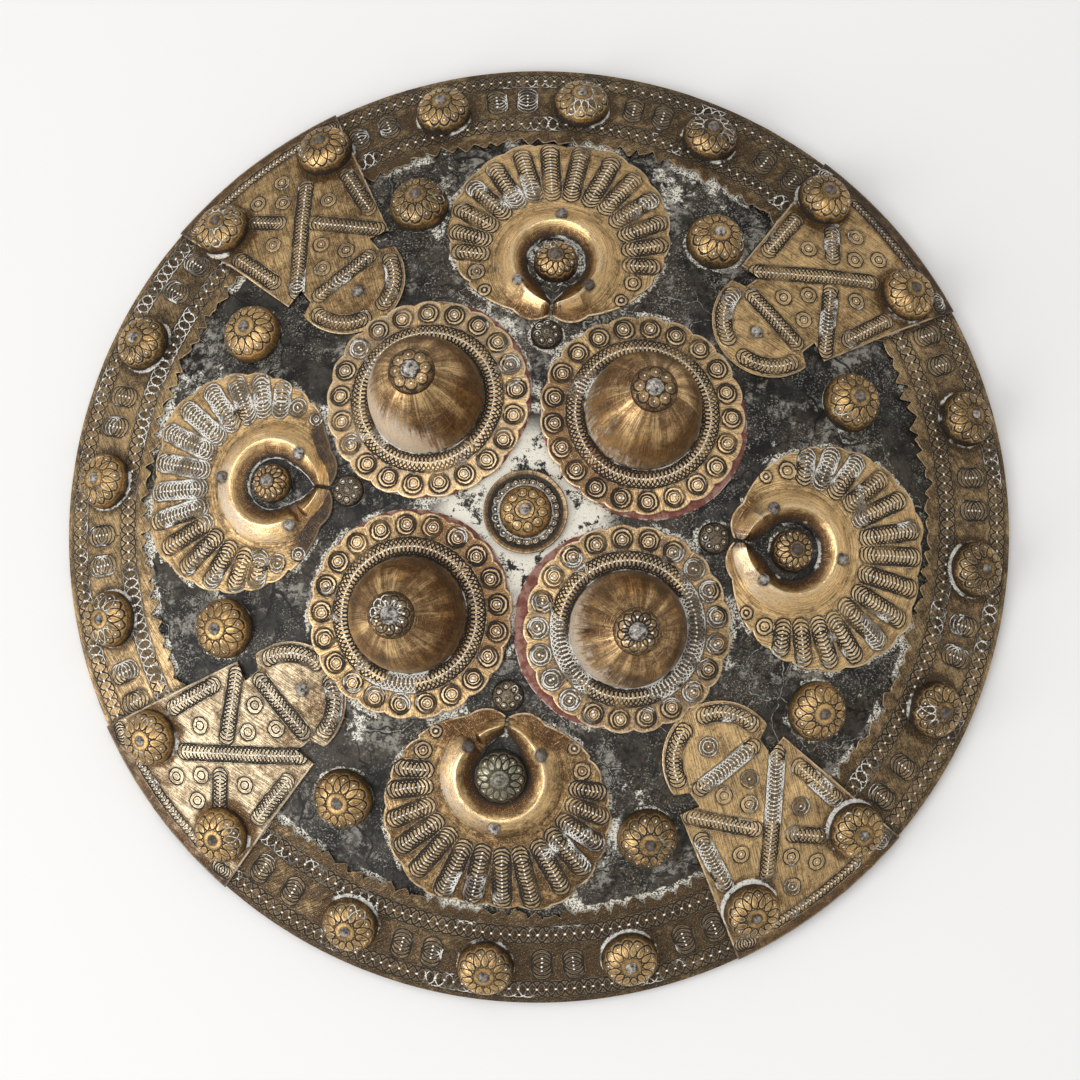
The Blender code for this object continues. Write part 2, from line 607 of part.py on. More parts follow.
def build():
    """Make every piece of the shield."""
    clear_scene()
    hide = make_material("black_hide", (0.03, 0.028, 0.026), 0.75, 0.0)
    brass = make_material("old_brass", (0.42, 0.29, 0.13), 0.42, 1.0)
    dark_brass = make_material("dark_brass", (0.16, 0.12, 0.08), 0.5, 1.0)
    cloth = make_material("red_cloth", (0.28, 0.04, 0.03), 0.9, 0.0)
    leather = make_material("brown_leather", (0.12, 0.06, 0.03), 0.7, 0.0)

    make_hide(hide)
    band_top = SHEET_LIFT + SHEET + SEAT_GAP
    stud_ring = RIM_RADIUS - BAND_STUD_INSET
    for place, (first_plaque, last_plaque, studs) in BANDS.items():
        make_rim_band("rim_band_" + place, first_plaque, last_plaque, brass)
        for number, (bearing, inset) in enumerate(studs, 1):
            profile = stud_profile(BAND_STUD_RADIUS, BAND_STUD_HEIGHT)
            matrix = seat(bearing, stud_ring - inset, band_top)
            make_turned("band_stud_%s_%d" % (place, number), profile, STUD_SIDES, brass, matrix)
    for place, (bearing, studs) in PLAQUES.items():
        make_corner_plaque("corner_plaque_" + place, studs, brass, pole_frame(bearing))
    for place, bearing in BOSS_BEARINGS.items():
        matrix = pattern_seat(bearing, BOSS_RING)
        make_cloth("boss_cloth_" + place, cloth, matrix)
        make_boss("boss_" + place, brass, matrix)
        cap_profile = (
            (CAP_RADIUS, 0.0),
            (CAP_RADIUS * CAP_SHOULDER, CAP_HEIGHT * CAP_SHOULDER),
            (BOSS_RIVET_RADIUS, CAP_HEIGHT),
            (BOSS_RIVET_RADIUS, CAP_HEIGHT + BOSS_RIVET_HEIGHT),
            (0.0, CAP_HEIGHT + BOSS_RIVET_HEIGHT),
        )
        cap_matrix = pattern_seat(bearing, BOSS_RING, BOSS_LIFT + SHEET + CONE_HEIGHT + SEAT_GAP)
        make_turned("boss_cap_" + place, cap_profile, STUD_SIDES, brass, cap_matrix)
    for place, (bearing, offset) in CRESCENTS.items():
        ring = CRESCENT_RING + offset
        matrix = pattern_seat(bearing, ring)
        make_crescent_plaque("crescent_plaque_" + place, brass, matrix)
        profile = stud_profile(CRESCENT_STUD_RADII[place], CRESCENT_STUD_HEIGHT)
        matrix = pattern_seat(bearing, ring, SEAT_GAP)
        make_turned("crescent_stud_" + place, profile, STUD_SIDES, brass, matrix)
        profile = stud_profile(ROSETTE_RADIUS, ROSETTE_HEIGHT)
        matrix = pattern_seat(bearing, ROSETTE_RING + offset, SEAT_GAP)
        make_turned("rosette_" + place, profile, ROSETTE_SIDES, dark_brass, matrix)
    for number, (bearing, offset) in enumerate(FIELD_STUDS, 1):
        profile = stud_profile(FIELD_STUD_RADIUS, FIELD_STUD_HEIGHT)
        matrix = pattern_seat(bearing, BOSS_RING + FIELD_STEP + offset, SEAT_GAP)
        make_turned("field_stud_%d" % number, profile, STUD_SIDES, brass, matrix)
    make_dish("centre_dish", brass, pattern_seat(0.0, 0.0, SEAT_GAP))
    profile = stud_profile(CENTRE_STUD_RADIUS, CENTRE_STUD_HEIGHT)
    make_turned("centre_stud", profile, STUD_SIDES, brass, pattern_seat(0.0, 0.0, 2 * SEAT_GAP + SHEET))
    make_grip("grip_left", "top_left", "bottom_left", leather)
    make_grip("grip_right", "top_right", "bottom_right", leather)


build()
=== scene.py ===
"""A round dhal shield of black hide faced with punched sheet brass, lying face up on a pale floor."""

import math

import bpy
import numpy as np
from mathutils import Matrix, Vector


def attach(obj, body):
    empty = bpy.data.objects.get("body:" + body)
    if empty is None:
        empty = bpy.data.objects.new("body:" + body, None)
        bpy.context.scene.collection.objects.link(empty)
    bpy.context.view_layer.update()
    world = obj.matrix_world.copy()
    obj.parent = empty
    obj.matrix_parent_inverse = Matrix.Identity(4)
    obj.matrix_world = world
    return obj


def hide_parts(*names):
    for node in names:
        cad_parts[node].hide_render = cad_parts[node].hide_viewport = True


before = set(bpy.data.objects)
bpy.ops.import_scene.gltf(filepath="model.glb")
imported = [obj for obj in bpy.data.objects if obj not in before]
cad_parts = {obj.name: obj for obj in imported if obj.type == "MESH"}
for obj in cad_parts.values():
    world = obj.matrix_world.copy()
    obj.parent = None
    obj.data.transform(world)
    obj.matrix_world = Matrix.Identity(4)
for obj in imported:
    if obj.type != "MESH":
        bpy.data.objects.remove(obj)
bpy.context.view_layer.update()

# The surroundings: a plain pale floor, a large soft light from the lower left as the photographs of such
# pieces have, a weaker one overhead, and a camera almost straight above the shield.
FLOOR_WIDTH = 12.0
CAMERA_PLACE = (0.0404, -0.2086, 1.4849)
CAMERA_AIM = (0.0012, -0.0053, 0.0)
LENS = 104.1

bpy.ops.object.select_all(action="DESELECT")
bpy.ops.mesh.primitive_plane_add(size=FLOOR_WIDTH, location=(0.0, 0.0, 0.0))
floor = bpy.context.object
floor.name = "floor"
paper = bpy.data.materials.new("white paper floor")
paper.use_nodes = True
shader = paper.node_tree.nodes["Principled BSDF"]
grain = paper.node_tree.nodes.new("ShaderNodeTexNoise")
grain.inputs["Scale"].default_value = 3.0
tone = paper.node_tree.nodes.new("ShaderNodeMapRange")
tone.inputs["To Min"].default_value = 0.78
tone.inputs["To Max"].default_value = 0.81
paper.node_tree.links.new(grain.outputs["Fac"], tone.inputs["Value"])
paper.node_tree.links.new(tone.outputs["Result"], shader.inputs["Base Color"])
shader.inputs["Roughness"].default_value = 0.8
shader.inputs["Specular IOR Level"].default_value = 0.2
floor.data.materials.append(paper)


def add_light(name, place, width, power):
    """A square soft light that faces the middle of the floor."""
    bpy.ops.object.light_add(type="AREA", location=place)
    light = bpy.context.object
    light.name = name
    light.rotation_euler = (-Vector(place)).to_track_quat("-Z", "Y").to_euler()
    light.data.shape = "SQUARE"
    light.data.size = width
    light.data.energy = power


add_light("left window", (-1.90, -1.05, 1.50), 2.0, 36.0)
add_light("overhead", (-0.2, 0.1, 2.6), 2.2, 26.0)

sky = bpy.data.worlds.new("studio walls, paler at the window's side")
sky.use_nodes = True
walls = sky.node_tree
facing = walls.nodes.new("ShaderNodeTexCoord")
toward_window = walls.nodes.new("ShaderNodeVectorMath")
toward_window.operation = "DOT_PRODUCT"
toward_window.inputs[1].default_value = (-0.82, -0.45, 0.35)
brightness = walls.nodes.new("ShaderNodeMapRange")
brightness.interpolation_type = "SMOOTHSTEP"
for number, value in enumerate((0.0, -0.75, 1.0, 0.52, 0.68)):
    brightness.inputs[number].default_value = value
walls.links.new(facing.outputs["Generated"], toward_window.inputs[0])
walls.links.new(toward_window.outputs["Value"], brightness.inputs["Value"])
walls.links.new(brightness.outputs["Result"], walls.nodes["Background"].inputs["Strength"])
walls.nodes["Background"].inputs["Color"].default_value = (1.0, 0.985, 0.96, 1.0)
bpy.context.scene.world = sky
bpy.context.scene.view_settings.view_transform = "Standard"

bpy.ops.object.camera_add(location=CAMERA_PLACE)
camera = bpy.context.object
ahead = (Vector(CAMERA_AIM) - Vector(CAMERA_PLACE)).normalized()
rightward = ahead.cross(Vector((0.0, 1.0, 0.0))).normalized()
upward = rightward.cross(ahead)
camera.rotation_euler = Matrix((rightward, upward, -ahead)).transposed().to_euler()
camera.data.lens = LENS
camera.data.sensor_width = 36.0
bpy.context.scene.camera = camera

# The hide: one thick black skin, moulded wet over a dome, dried hard and lacquered. The lacquer has worn and
# cracked, and pale polish has dried on it round everything that stands on it. Its edge is cut flat below.
DOME_RISE = 0.068
HIDE_THICKNESS = 0.006
RIM_RADIUS = 0.225
HIDE_RADIUS = 0.2230
HOLLOW_RADIUS = 0.2192
HOLLOW_RISE = DOME_RISE - HIDE_THICKNESS
DOME_DROP = (HOLLOW_RADIUS ** 2 - HOLLOW_RISE ** 2) / (2 * HOLLOW_RISE)
DOME_RADIUS = DOME_DROP + DOME_RISE
PATTERN_SHIFT = (-0.0035, -0.0018)
BOSS_RING = 0.0707
BOSSES = {"top_right": 40.6, "top_left": 130.2, "bottom_left": 221.0, "bottom_right": 311.0}
FLANGE_RADIUS = 0.0480
CRESCENT_RING = 0.1209
CRESCENTS = {"top": (83.6, 0.0), "left": (172.1, -0.002), "bottom": (264.3, -0.001), "right": (352.5, 0.0020)}
FIELD_RING = 0.1582
FIELD_STUDS = (
    (20.1, 0.0025), (56.2, 0.0005), (108.8, 0.0010), (145.4, -0.0010),
    (199.6, -0.0090), (236.6, -0.0040), (290.5, -0.0010), (326.3, 0.0020),
)
FIELD_STUD_RADIUS = 0.0140
BAND_INNER_RADIUS = 0.1823
ROSETTE_GAP = 0.0361
FAN_REACH, FAN_LEAN = 0.049, 0.021
WELL_STUD_REACH = 0.0095
ROSETTE_REACH = 0.0078
DISH_REACH = 0.0200
FACE_SHARE = 0.70
OFF_THE_FACE = 0.05
WELD = 0.00002
SHARP_ANGLE = math.radians(50)
MM = 1000.0


def seat(bearing, distance, lift=0.0, shift=PATTERN_SHIFT):
    """The frame of a piece on the dome: +Z is the dome's normal and +X points down the slope."""
    angle = math.radians(bearing)
    x = shift[0] + distance * math.cos(angle)
    y = shift[1] + distance * math.sin(angle)
    slope = math.asin(math.hypot(x, y) / DOME_RADIUS)
    turn = Matrix.Rotation(math.atan2(y, x), 4, "Z") @ Matrix.Rotation(slope, 4, "Y")
    outward = Matrix.Translation((0.0, 0.0, DOME_RADIUS + lift))
    return Matrix.Translation((0.0, 0.0, -DOME_DROP)) @ turn @ outward


def dome_z(x, y, lift):
    """Height, in a seat's own frame, of the sphere that lies lift above the face of the hide."""
    return np.sqrt((DOME_RADIUS + lift) ** 2 - x ** 2 - y ** 2) - DOME_RADIUS


def add_grid(name, columns, rows):
    """A flat grid to be beaten to shape, and each corner's share across it and along it."""
    bpy.ops.object.select_all(action="DESELECT")
    bpy.ops.mesh.primitive_grid_add(x_subdivisions=columns, y_subdivisions=rows, size=1.0)
    grid = bpy.context.object
    grid.name = grid.data.name = name
    places = np.empty(3 * len(grid.data.vertices))
    grid.data.vertices.foreach_get("co", places)
    across, along = places.reshape(-1, 3)[:, :2].T + 0.5
    return grid, across, along


def limited(value):
    """A value kept between nought and one."""
    return np.clip(value, 0.0, 1.0)


def round_middle(radius, angle):
    """The x and y of places at some radii and angles."""
    return radius * np.cos(angle), radius * np.sin(angle)


def toward(angle):
    """The direction of an angle in radians."""
    return np.array((math.cos(angle), math.sin(angle)))


def move_corners(piece, matrix, x, y, z):
    """Put a mesh's corners at places of a frame."""
    places = np.column_stack((x, y, z, np.ones(len(x)))) @ np.array(matrix).T
    piece.data.vertices.foreach_set("co", places[:, :3].ravel())
    piece.data.update()


def close_seams(piece):
    """Weld the grid's seam and poles, and face it outwards."""
    bpy.ops.object.select_all(action="DESELECT")
    bpy.context.view_layer.objects.active = piece
    piece.select_set(True)
    bpy.ops.object.mode_set(mode="EDIT")
    bpy.ops.mesh.select_all(action="SELECT")
    bpy.ops.mesh.remove_doubles(threshold=WELD)
    bpy.ops.mesh.normals_make_consistent(inside=False)
    bpy.ops.object.mode_set(mode="OBJECT")
    upward = sum(face.normal.z * face.area for face in piece.data.polygons)
    if upward < 0:
        piece.data.flip_normals()


def add_measure(piece, name, values):
    """Keep a number, or three, for each corner, for the piece's material to read."""
    values = np.asarray(values, dtype=float)
    kind = "FLOAT" if values.ndim == 1 else "FLOAT_VECTOR"
    measure = piece.data.attributes.new(name, kind, "POINT")
    measure.data.foreach_set("value" if values.ndim == 1 else "vector", values.ravel())


def clean_noise(x, y, size, seed):
    """Smooth random heights from -1 to 1 over a plane, made of a few crossed waves."""
    dice = np.random.default_rng(seed)
    total = np.zeros(len(x))
    weight = 0.0
    for octave in range(3):
        share = 0.6 ** octave
        for _ in range(5):
            bearing = dice.uniform(0, 2 * math.pi)
            length = size * 0.5 ** octave * dice.uniform(0.7, 1.4)
            phase = dice.uniform(0, 2 * math.pi)
            along = x * math.cos(bearing) + y * math.sin(bearing)
            total += share * np.sin(along * 2 * math.pi / length + phase)
            weight += share
    return total / weight * 2.2


def ride_and_replace(piece, slot, *nodes):
    """Tie a finished piece to the body, and hide the solids that it stands for; the slot is not used."""
    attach(piece, "root")
    if nodes:
        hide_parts(*nodes)


def edge_distance(x, y):
    """How far a place of the dome's plan lies outside the nearest thing that stands on the hide."""
    nearest = np.full(len(x), 1.0)
    height = np.sqrt(DOME_RADIUS ** 2 - x ** 2 - y ** 2) - DOME_DROP
    round_things = [(seat(bearing, BOSS_RING), FLANGE_RADIUS + 0.001) for bearing in BOSSES.values()]
    for bearing, offset in FIELD_STUDS:
        round_things.append((seat(bearing, FIELD_RING + offset), FIELD_STUD_RADIUS))
    for bearing, offset in CRESCENTS.values():
        round_things.append((seat(bearing, CRESCENT_RING + offset), WELL_STUD_REACH))
        round_things.append((seat(bearing, CRESCENT_RING + offset - ROSETTE_GAP), ROSETTE_REACH))
    round_things.append((seat(0.0, 0.0), DISH_REACH))
    for matrix, radius in round_things:
        middle = matrix.translation
        gap = np.sqrt((x - middle.x) ** 2 + (y - middle.y) ** 2 + (height - middle.z) ** 2) - radius
        nearest = np.minimum(nearest, np.maximum(gap, 0.0))
    for bearing, offset in CRESCENTS.values():
        inverse = seat(bearing, CRESCENT_RING + offset).inverted()
        local_x, local_y = (np.column_stack((x, y, height, np.ones(len(x)))) @ np.array(inverse).T)[:, :2].T
        reach = np.hypot(local_x, local_y)
        outward = local_x / np.maximum(reach, 1e-6)
        outside = reach - (FAN_REACH + FAN_LEAN * outward)
        in_the_well = reach < 0.0125 + 0.006 * limited((-outward - 0.5) / 0.5)
        nearest = np.minimum(nearest, np.where(in_the_well, 1.0, np.maximum(outside, 0.0)))
    return np.minimum(nearest, np.maximum(BAND_INNER_RADIUS - np.hypot(x, y), 0.0))


hide, around, down = add_grid("lacquered_hide", 320, 110)
face_radius = HIDE_RADIUS * limited(down / FACE_SHARE)
back_share = limited((down - FACE_SHARE - 0.02) / (1 - FACE_SHARE - 0.02))
back_radius = HOLLOW_RADIUS * (1 - back_share)
on_face = down <= FACE_SHARE
radius = np.where(on_face, face_radius, back_radius)
turn = 2 * math.pi * around
x, y = round_middle(radius, turn)
face_height = DOME_RISE + dome_z(radius, 0.0, 0.0) + 0.00014 * clean_noise(x, y, 0.05, 3)
back_height = DOME_RISE + dome_z(radius, 0.0, -HIDE_THICKNESS)
back_height += 0.0003 * clean_noise(x, y, 0.06, 4)
height = np.where(on_face, face_height, np.where(back_share > 0, back_height, 0.0))
height = np.where(down >= 1.0, HOLLOW_RISE, height)
first_below = np.isclose(down, down[down > FACE_SHARE].min())
radius = np.where(first_below, HIDE_RADIUS, radius)
height = np.where(first_below | (~on_face & (back_share <= 0)), 0.0, height)
x, y = round_middle(radius, turn)
move_corners(hide, Matrix.Identity(4), x, y, height)
add_measure(hide, "edge_distance", np.where(on_face, edge_distance(x, y), OFF_THE_FACE) * MM)
close_seams(hide)
bpy.ops.object.shade_smooth_by_angle(angle=SHARP_ANGLE)


class Shade:
    """A value that changes over a surface. Sums, products and comparisons of shades add nodes."""

    def __init__(self, socket):
        self.socket = socket
        self.tree = socket.id_data

    def __add__(self, other):
        return maths("ADD", self, other)

    def __sub__(self, other):
        return maths("SUBTRACT", self, other)

    def __rsub__(self, other):
        return maths("SUBTRACT", other, self)

    def __mul__(self, other):
        return maths("MULTIPLY", self, other)

    def __truediv__(self, other):
        return maths("DIVIDE", self, other)

    def __pow__(self, power):
        return maths("POWER", self, power)

    def __abs__(self):
        return maths("ABSOLUTE", self)

    def __lt__(self, other):
        return maths("LESS_THAN", self, other)

    def __gt__(self, other):
        return maths("GREATER_THAN", self, other)

    __radd__ = __add__


def feed(socket, value):
    """Link a shade to a socket, or set the socket to a number or a colour."""
    if isinstance(value, Shade):
        value.tree.links.new(value.socket, socket)
    else:
        socket.default_value = value


def add_node(tree, kind, *values, **settings):
    """A node with its settings, and with values on its first inputs."""
    node = tree.nodes.new(kind)
    for name, value in settings.items():
        setattr(node, name, value)
    for socket, value in zip(node.inputs, values):
        feed(socket, value)
    return node


def maths(operation, *values):
    """One step of arithmetic on shades and numbers."""
    tree = next(value.tree for value in values if isinstance(value, Shade))
    return Shade(add_node(tree, "ShaderNodeMath", *values, operation=operation).outputs[0])


def highest(first, *others):
    """The highest of some shades."""
    for other in others:
        first = maths("MAXIMUM", first, other)
    return first


def lowest(first, *others):
    """The lowest of some shades."""
    for other in others:
        first = maths("MINIMUM", first, other)
    return first


def centred(shade, amount):
    """A shade that wavers about nought by an amount."""
    return (shade - 0.5) * amount


def smooth_step(shade, low, high, to_low=0.0, to_high=1.0):
    """A value that rises smoothly, or falls, between two limits."""
    limits = (low, high, to_low, to_high)
    node = add_node(shade.tree, "ShaderNodeMapRange", shade, *limits, interpolation_type="SMOOTHSTEP")
    return Shade(node.outputs[0])


def blend(share, first, second):
    """One colour over another by a share."""
    tree = next(value.tree for value in (share, first, second) if isinstance(value, Shade))
    node = add_node(tree, "ShaderNodeMix", share, data_type="RGBA")
    feed(node.inputs[6], first)
    feed(node.inputs[7], second)
    return Shade(node.outputs[2])


def noise(place, scale, detail=4.0, roughness=0.55):
    """Cloudy noise over a place."""
    node = add_node(place.tree, "ShaderNodeTexNoise", place)
    node.inputs["Scale"].default_value = scale
    node.inputs["Detail"].default_value = detail
    node.inputs["Roughness"].default_value = roughness
    return Shade(node.outputs["Fac"])


def mapped(place, **settings):
    """A place moved by Location and stretched by Scale."""
    node = add_node(place.tree, "ShaderNodeMapping", place)
    for name, value in settings.items():
        node.inputs[name].default_value = value
    return Shade(node.outputs[0])


def attribute(tree, name, vector=False):
    """One of the numbers that a piece keeps for its material."""
    node = add_node(tree, "ShaderNodeAttribute", attribute_name=name)
    return Shade(node.outputs["Vector" if vector else "Fac"])


def object_place(tree):
    """The place of each point of a piece."""
    return Shade(add_node(tree, "ShaderNodeTexCoord").outputs["Object"])


def new_material(name):
    """A material, and the place of each point that it covers."""
    material = bpy.data.materials.new(name)
    material.use_nodes = True
    return material, object_place(material.node_tree)


def finish(material, colour, roughness, metallic, height, depth):
    """Wire colour, roughness, metal and bumps to the material's shader."""
    tree = material.node_tree
    shader = tree.nodes["Principled BSDF"]
    for name, value in (("Base Color", colour), ("Roughness", roughness), ("Metallic", metallic)):
        feed(shader.inputs[name], value)
    bump = add_node(tree, "ShaderNodeBump")
    for name, value in (("Strength", 1.0), ("Distance", depth), ("Height", height)):
        feed(bump.inputs[name], value)
    tree.links.new(bump.outputs["Normal"], shader.inputs["Normal"])


def black_hide():
    """Black lacquered hide: cracks, grey scuffs, and pale residue along edges and round the middle."""
    material, place = new_material("black lacquered hide")
    tree = place.tree
    clouds = noise(place, 24.0, 7.0, 0.74)
    mottle = noise(place, 90.0, 5.0, 0.75)
    grain = noise(place, 420.0, 4.0, 0.7)
    crumbs = noise(place, 1100.0, 3.0, 0.75)
    warp = add_node(tree, "ShaderNodeTexNoise", place)
    warp.inputs["Scale"].default_value = 60.0
    small = add_node(tree, "ShaderNodeVectorMath", Shade(warp.outputs["Color"]), operation="SCALE")
    small.inputs["Scale"].default_value = 0.02
    bent = add_node(tree, "ShaderNodeVectorMath", place, Shade(small.outputs[0]), operation="ADD")
    cells = add_node(tree, "ShaderNodeTexVoronoi", Shade(bent.outputs[0]), feature="DISTANCE_TO_EDGE")
    cells.inputs["Scale"].default_value = 34.0
    from_crack = Shade(cells.outputs["Distance"])
    crack = from_crack < smooth_step(clouds, 0.42, 0.70, 0.004, 0.045)
    colour = blend(smooth_step(mottle, 0.38, 0.66), (0.0040, 0.0036, 0.0032, 1), (0.040, 0.036, 0.030, 1))
    brown = smooth_step(noise(place, 15.0, 5.0, 0.6), 0.46, 0.60) * 0.75 * smooth_step(grain, 0.38, 0.62)
    colour = blend(brown, colour, (0.062, 0.047, 0.030, 1))
    scuff = smooth_step(clouds, 0.50, 0.57) * smooth_step(mottle, 0.45, 0.54) * smooth_step(grain, 0.40, 0.54)
    colour = blend(scuff * 0.9, colour, (0.26, 0.245, 0.215, 1))
    smear = smooth_step(noise(place, 19.0, 8.0, 0.78), 0.60, 0.64) * smooth_step(crumbs, 0.42, 0.50)
    dusty = smooth_step(noise(place, 55.0, 4.0, 0.6), 0.42, 0.58, 0.05, 1.0)
    dust = smooth_step(crumbs, 0.56, 0.62) * 0.80 * dusty
    colour = blend(dust, colour, (0.34, 0.32, 0.28, 1))
    colour = blend(crack * 0.85, colour, (0.002, 0.002, 0.002, 1))
    here_and_there = smooth_step(noise(place, 12.0, 3.0), 0.53, 0.59, 0.0, 0.38)
    healed = smooth_step(from_crack, 0.010, 0.004) * here_and_there * smooth_step(crumbs, 0.42, 0.52)
    gap = attribute(tree, "edge_distance")
    ragged = gap + centred(mottle, 7.0) + centred(grain, 4.0)
    line = smooth_step(ragged, 1.2, 0.7) * smooth_step(noise(place, 30.0, 4.0), 0.48, 0.53)
    line = line * smooth_step(crumbs, 0.45, 0.52)
    shifted = mapped(place, Location=(0.0035, 0.0018, -0.068))
    length = add_node(tree, "ShaderNodeVectorMath", shifted, operation="LENGTH")
    middle = smooth_step(Shade(length.outputs["Value"]) + clouds * -0.035, 0.033, 0.013)
    middle = middle * (gap < OFF_THE_FACE * MM - 1)
    middle = middle * smooth_step(mottle, 0.44, 0.48) * smooth_step(crumbs, 0.30, 0.44, 0.35, 1.0)
    pale = highest(line, middle, smear, healed)
    colour = blend(pale, colour, (0.74, 0.71, 0.62, 1))
    roughness = smooth_step(scuff + pale, 0.0, 1.0, 0.48, 0.85)
    finish(material, colour, roughness, 0.0, grain * 0.35 + mottle * 0.6, 0.0006)
    return material


HIDE_FINISH = black_hide()
HIDE_FINISH.node_tree.nodes["Principled BSDF"].inputs["Specular IOR Level"].default_value = 0.24
hide.data.materials.append(HIDE_FINISH)
ride_and_replace(hide, "hide", "hide")

# The rim bands: four strips of thin sheet brass laid on the hide's margin, their outer edges folded down over
# it and their inner edges snipped into teeth. Rings, beads and short bars are punched along them.
SHEET = 0.0012
SHEET_LIFT = 0.00056
BAND_JOINTS = {
    "top": (39.6, 128.0), "left": (128.0, 217.1), "bottom": (217.1, 306.9), "right": (306.9, 399.6),
}
BAND_STUDS = {
    "top": ((65.9, 0.003), (83.9, 0.0025), (102.6, 0.002)),
    "left": ((155.0, -0.0005), (174.1, 0.0005), (192.5, 0.0005)),
    "bottom": ((245.2, 0.0), (263.5, -0.0025), (282.0, -0.0015)),
    "right": ((334.6, 0.0005), (353.8, -0.001), (373.7, -0.0025)),
}
PLAQUE_STUDS = (31.7, 48.5, 119.3, 136.5, 209.1, 224.8, 298.8, 315.8)
STUD_RING = 0.206
PLAQUE_OUTER_HALF = 0.0477
TOOTH_PITCH = 0.0077
TOOTH_DEPTH = 0.0042
LIP_END = 0.0017
LINKED = -1.0
LINKED_LIKE_PETALS = -2.0
GRID = 0.00078
BAND_REACH = 0.054
LIP_SHARE = 0.90
LIP_ROUND = 0.0006
OUTER_ROW, INNER_ROW = 14.8, -13.8
STUD_REACH = 0.0132
BRASS_BUMPS = 0.00035
CONE_SLOPE = math.asin(0.206 / DOME_RADIUS)
CONE_REACH = DOME_RADIUS * math.tan(CONE_SLOPE)


def unrolled(radius, angle):
    """A place of the dome's margin on the margin rolled out flat, in millimetres."""
    reach = CONE_REACH + DOME_RADIUS * (np.arcsin(radius / DOME_RADIUS) - CONE_SLOPE)
    angle = angle * math.cos(CONE_SLOPE)
    return reach * np.cos(angle) * MM, reach * np.sin(angle) * MM


def ring_bar(start, end, radius, pitch=1.9, inner=0.0):
    """A straight row of overlapping ring punches; with no length, a single ring."""
    start, end = np.array(start, dtype=float), np.array(end, dtype=float)
    length = np.hypot(*(end - start))
    count = max(round(length / pitch), 0)
    step = length / count if count else pitch
    along = (end - start) / length if length else np.array((1.0, 0.0))

    def figure(x, y):
        u = (x - start[0]) * along[0] + (y - start[1]) * along[1]
        v = (y - start[1]) * along[0] - (x - start[0]) * along[1]
        return u, v, float(count), radius, step, inner, 0.0

    return figure


def ring_arc(middle, distance, start, end, radius, pitch=1.9, inner=0.0):
    """A row of overlapping ring punches along an arc; angles in radians."""
    length = distance * (end - start)
    count = max(round(length / pitch), 1)
    step = length / count
    half = (start + end) / 2

    def figure(x, y):
        angle = np.arctan2(y - middle[1], x - middle[0])
        angle = (angle - half + math.pi) % (2 * math.pi) - math.pi + half
        u = distance * (angle - start)
        v = np.hypot(x - middle[0], y - middle[1]) - distance
        return u, v, float(count), radius, step, inner, 1 / distance

    return figure


def ring_round(distance, radius, pitch, inner):
    """A row of overlapping ring punches all the way round."""
    return ring_arc((0.0, 0.0), distance, -math.pi, math.pi, radius, pitch, inner)


def punch(piece, figures, x, y, ridge):
    """Strike the figures into a sheet: keep each corner's place in its figure, and give its height."""
    nearest = np.full(len(x), 99.0)
    places = np.zeros((len(x), 3))
    forms = np.tile((1.0, 1.0, 0.0), (len(x), 1))
    bends = np.zeros(len(x))
    for figure in figures:
        u, v, last, radius, step, inner, bend = figure(x, y)
        beyond = (u - np.clip(u, 0.0, last * step)) * (1 + v * bend)
        gap = np.hypot(beyond, v) - radius
        closer = gap < nearest
        nearest = np.where(closer, gap, nearest)
        places[closer] = np.column_stack((u, v, np.full(len(u), last)))[closer]
        forms[closer] = (radius, step, inner)
        bends[closer] = bend
    u, v, last = places.T
    radius, step, inner = forms.T
    turned = np.maximum(1 + v * bends, 0.2)
    half = np.sqrt(np.maximum(radius ** 2 - v ** 2, 0.0)) / turned
    line = np.full(len(x), 9.0)
    for side in (-half, half):
        number = np.clip(np.round((u + side) / step), 0.0, last)
        line = np.minimum(line, np.abs(np.hypot((u - number * step) * turned, v) - radius))
    number = np.clip(np.round(u / step), 0.0, last)
    from_bead = np.hypot((u - number * step) * turned, v) + 9.0 * (inner < -1.5)
    struck = limited((0.80 - nearest) / 0.5)
    stacked = (last > 0.5) * struck
    groove = np.exp(-(line / 0.34) ** 2) * struck
    bead = np.exp(-(from_bead / 0.55) ** 2) * struck
    add_measure(piece, "place", places)
    add_measure(piece, "form", forms)
    add_measure(piece, "bend", bends)
    add_measure(piece, "struck", struck)
    add_measure(piece, "stacked", stacked)
    return (ridge * stacked - 0.22 * groove + 0.28 * bead) / MM


def select_cut_edges():
    """In edit mode, select the edges that have a face on one side alone."""
    bpy.ops.mesh.select_all(action="DESELECT")
    bpy.ops.mesh.select_mode(type="EDGE")
    bpy.ops.mesh.select_non_manifold(
        extend=False, use_wire=False, use_boundary=True, use_multi_face=False,
        use_non_contiguous=False, use_verts=False,
    )


def fold_edge(drop):
    """Pull the cut edges of the sheet in hand down, to give it its thickness."""
    bpy.ops.object.mode_set(mode="EDIT")
    select_cut_edges()
    bpy.ops.mesh.extrude_region_move(TRANSFORM_OT_translate={"value": drop})
    bpy.ops.mesh.select_mode(type="VERT")
    bpy.ops.object.mode_set(mode="OBJECT")
    bpy.ops.object.shade_smooth()


def beat(piece, matrix, x, y, z, drop, slot, node):
    """Beat a sheet to its shape, turn its edge down, and tie it to the solid that it stands for."""
    move_corners(piece, matrix, x, y, z)
    close_seams(piece)
    fold_edge(drop)
    ride_and_replace(piece, slot, node)


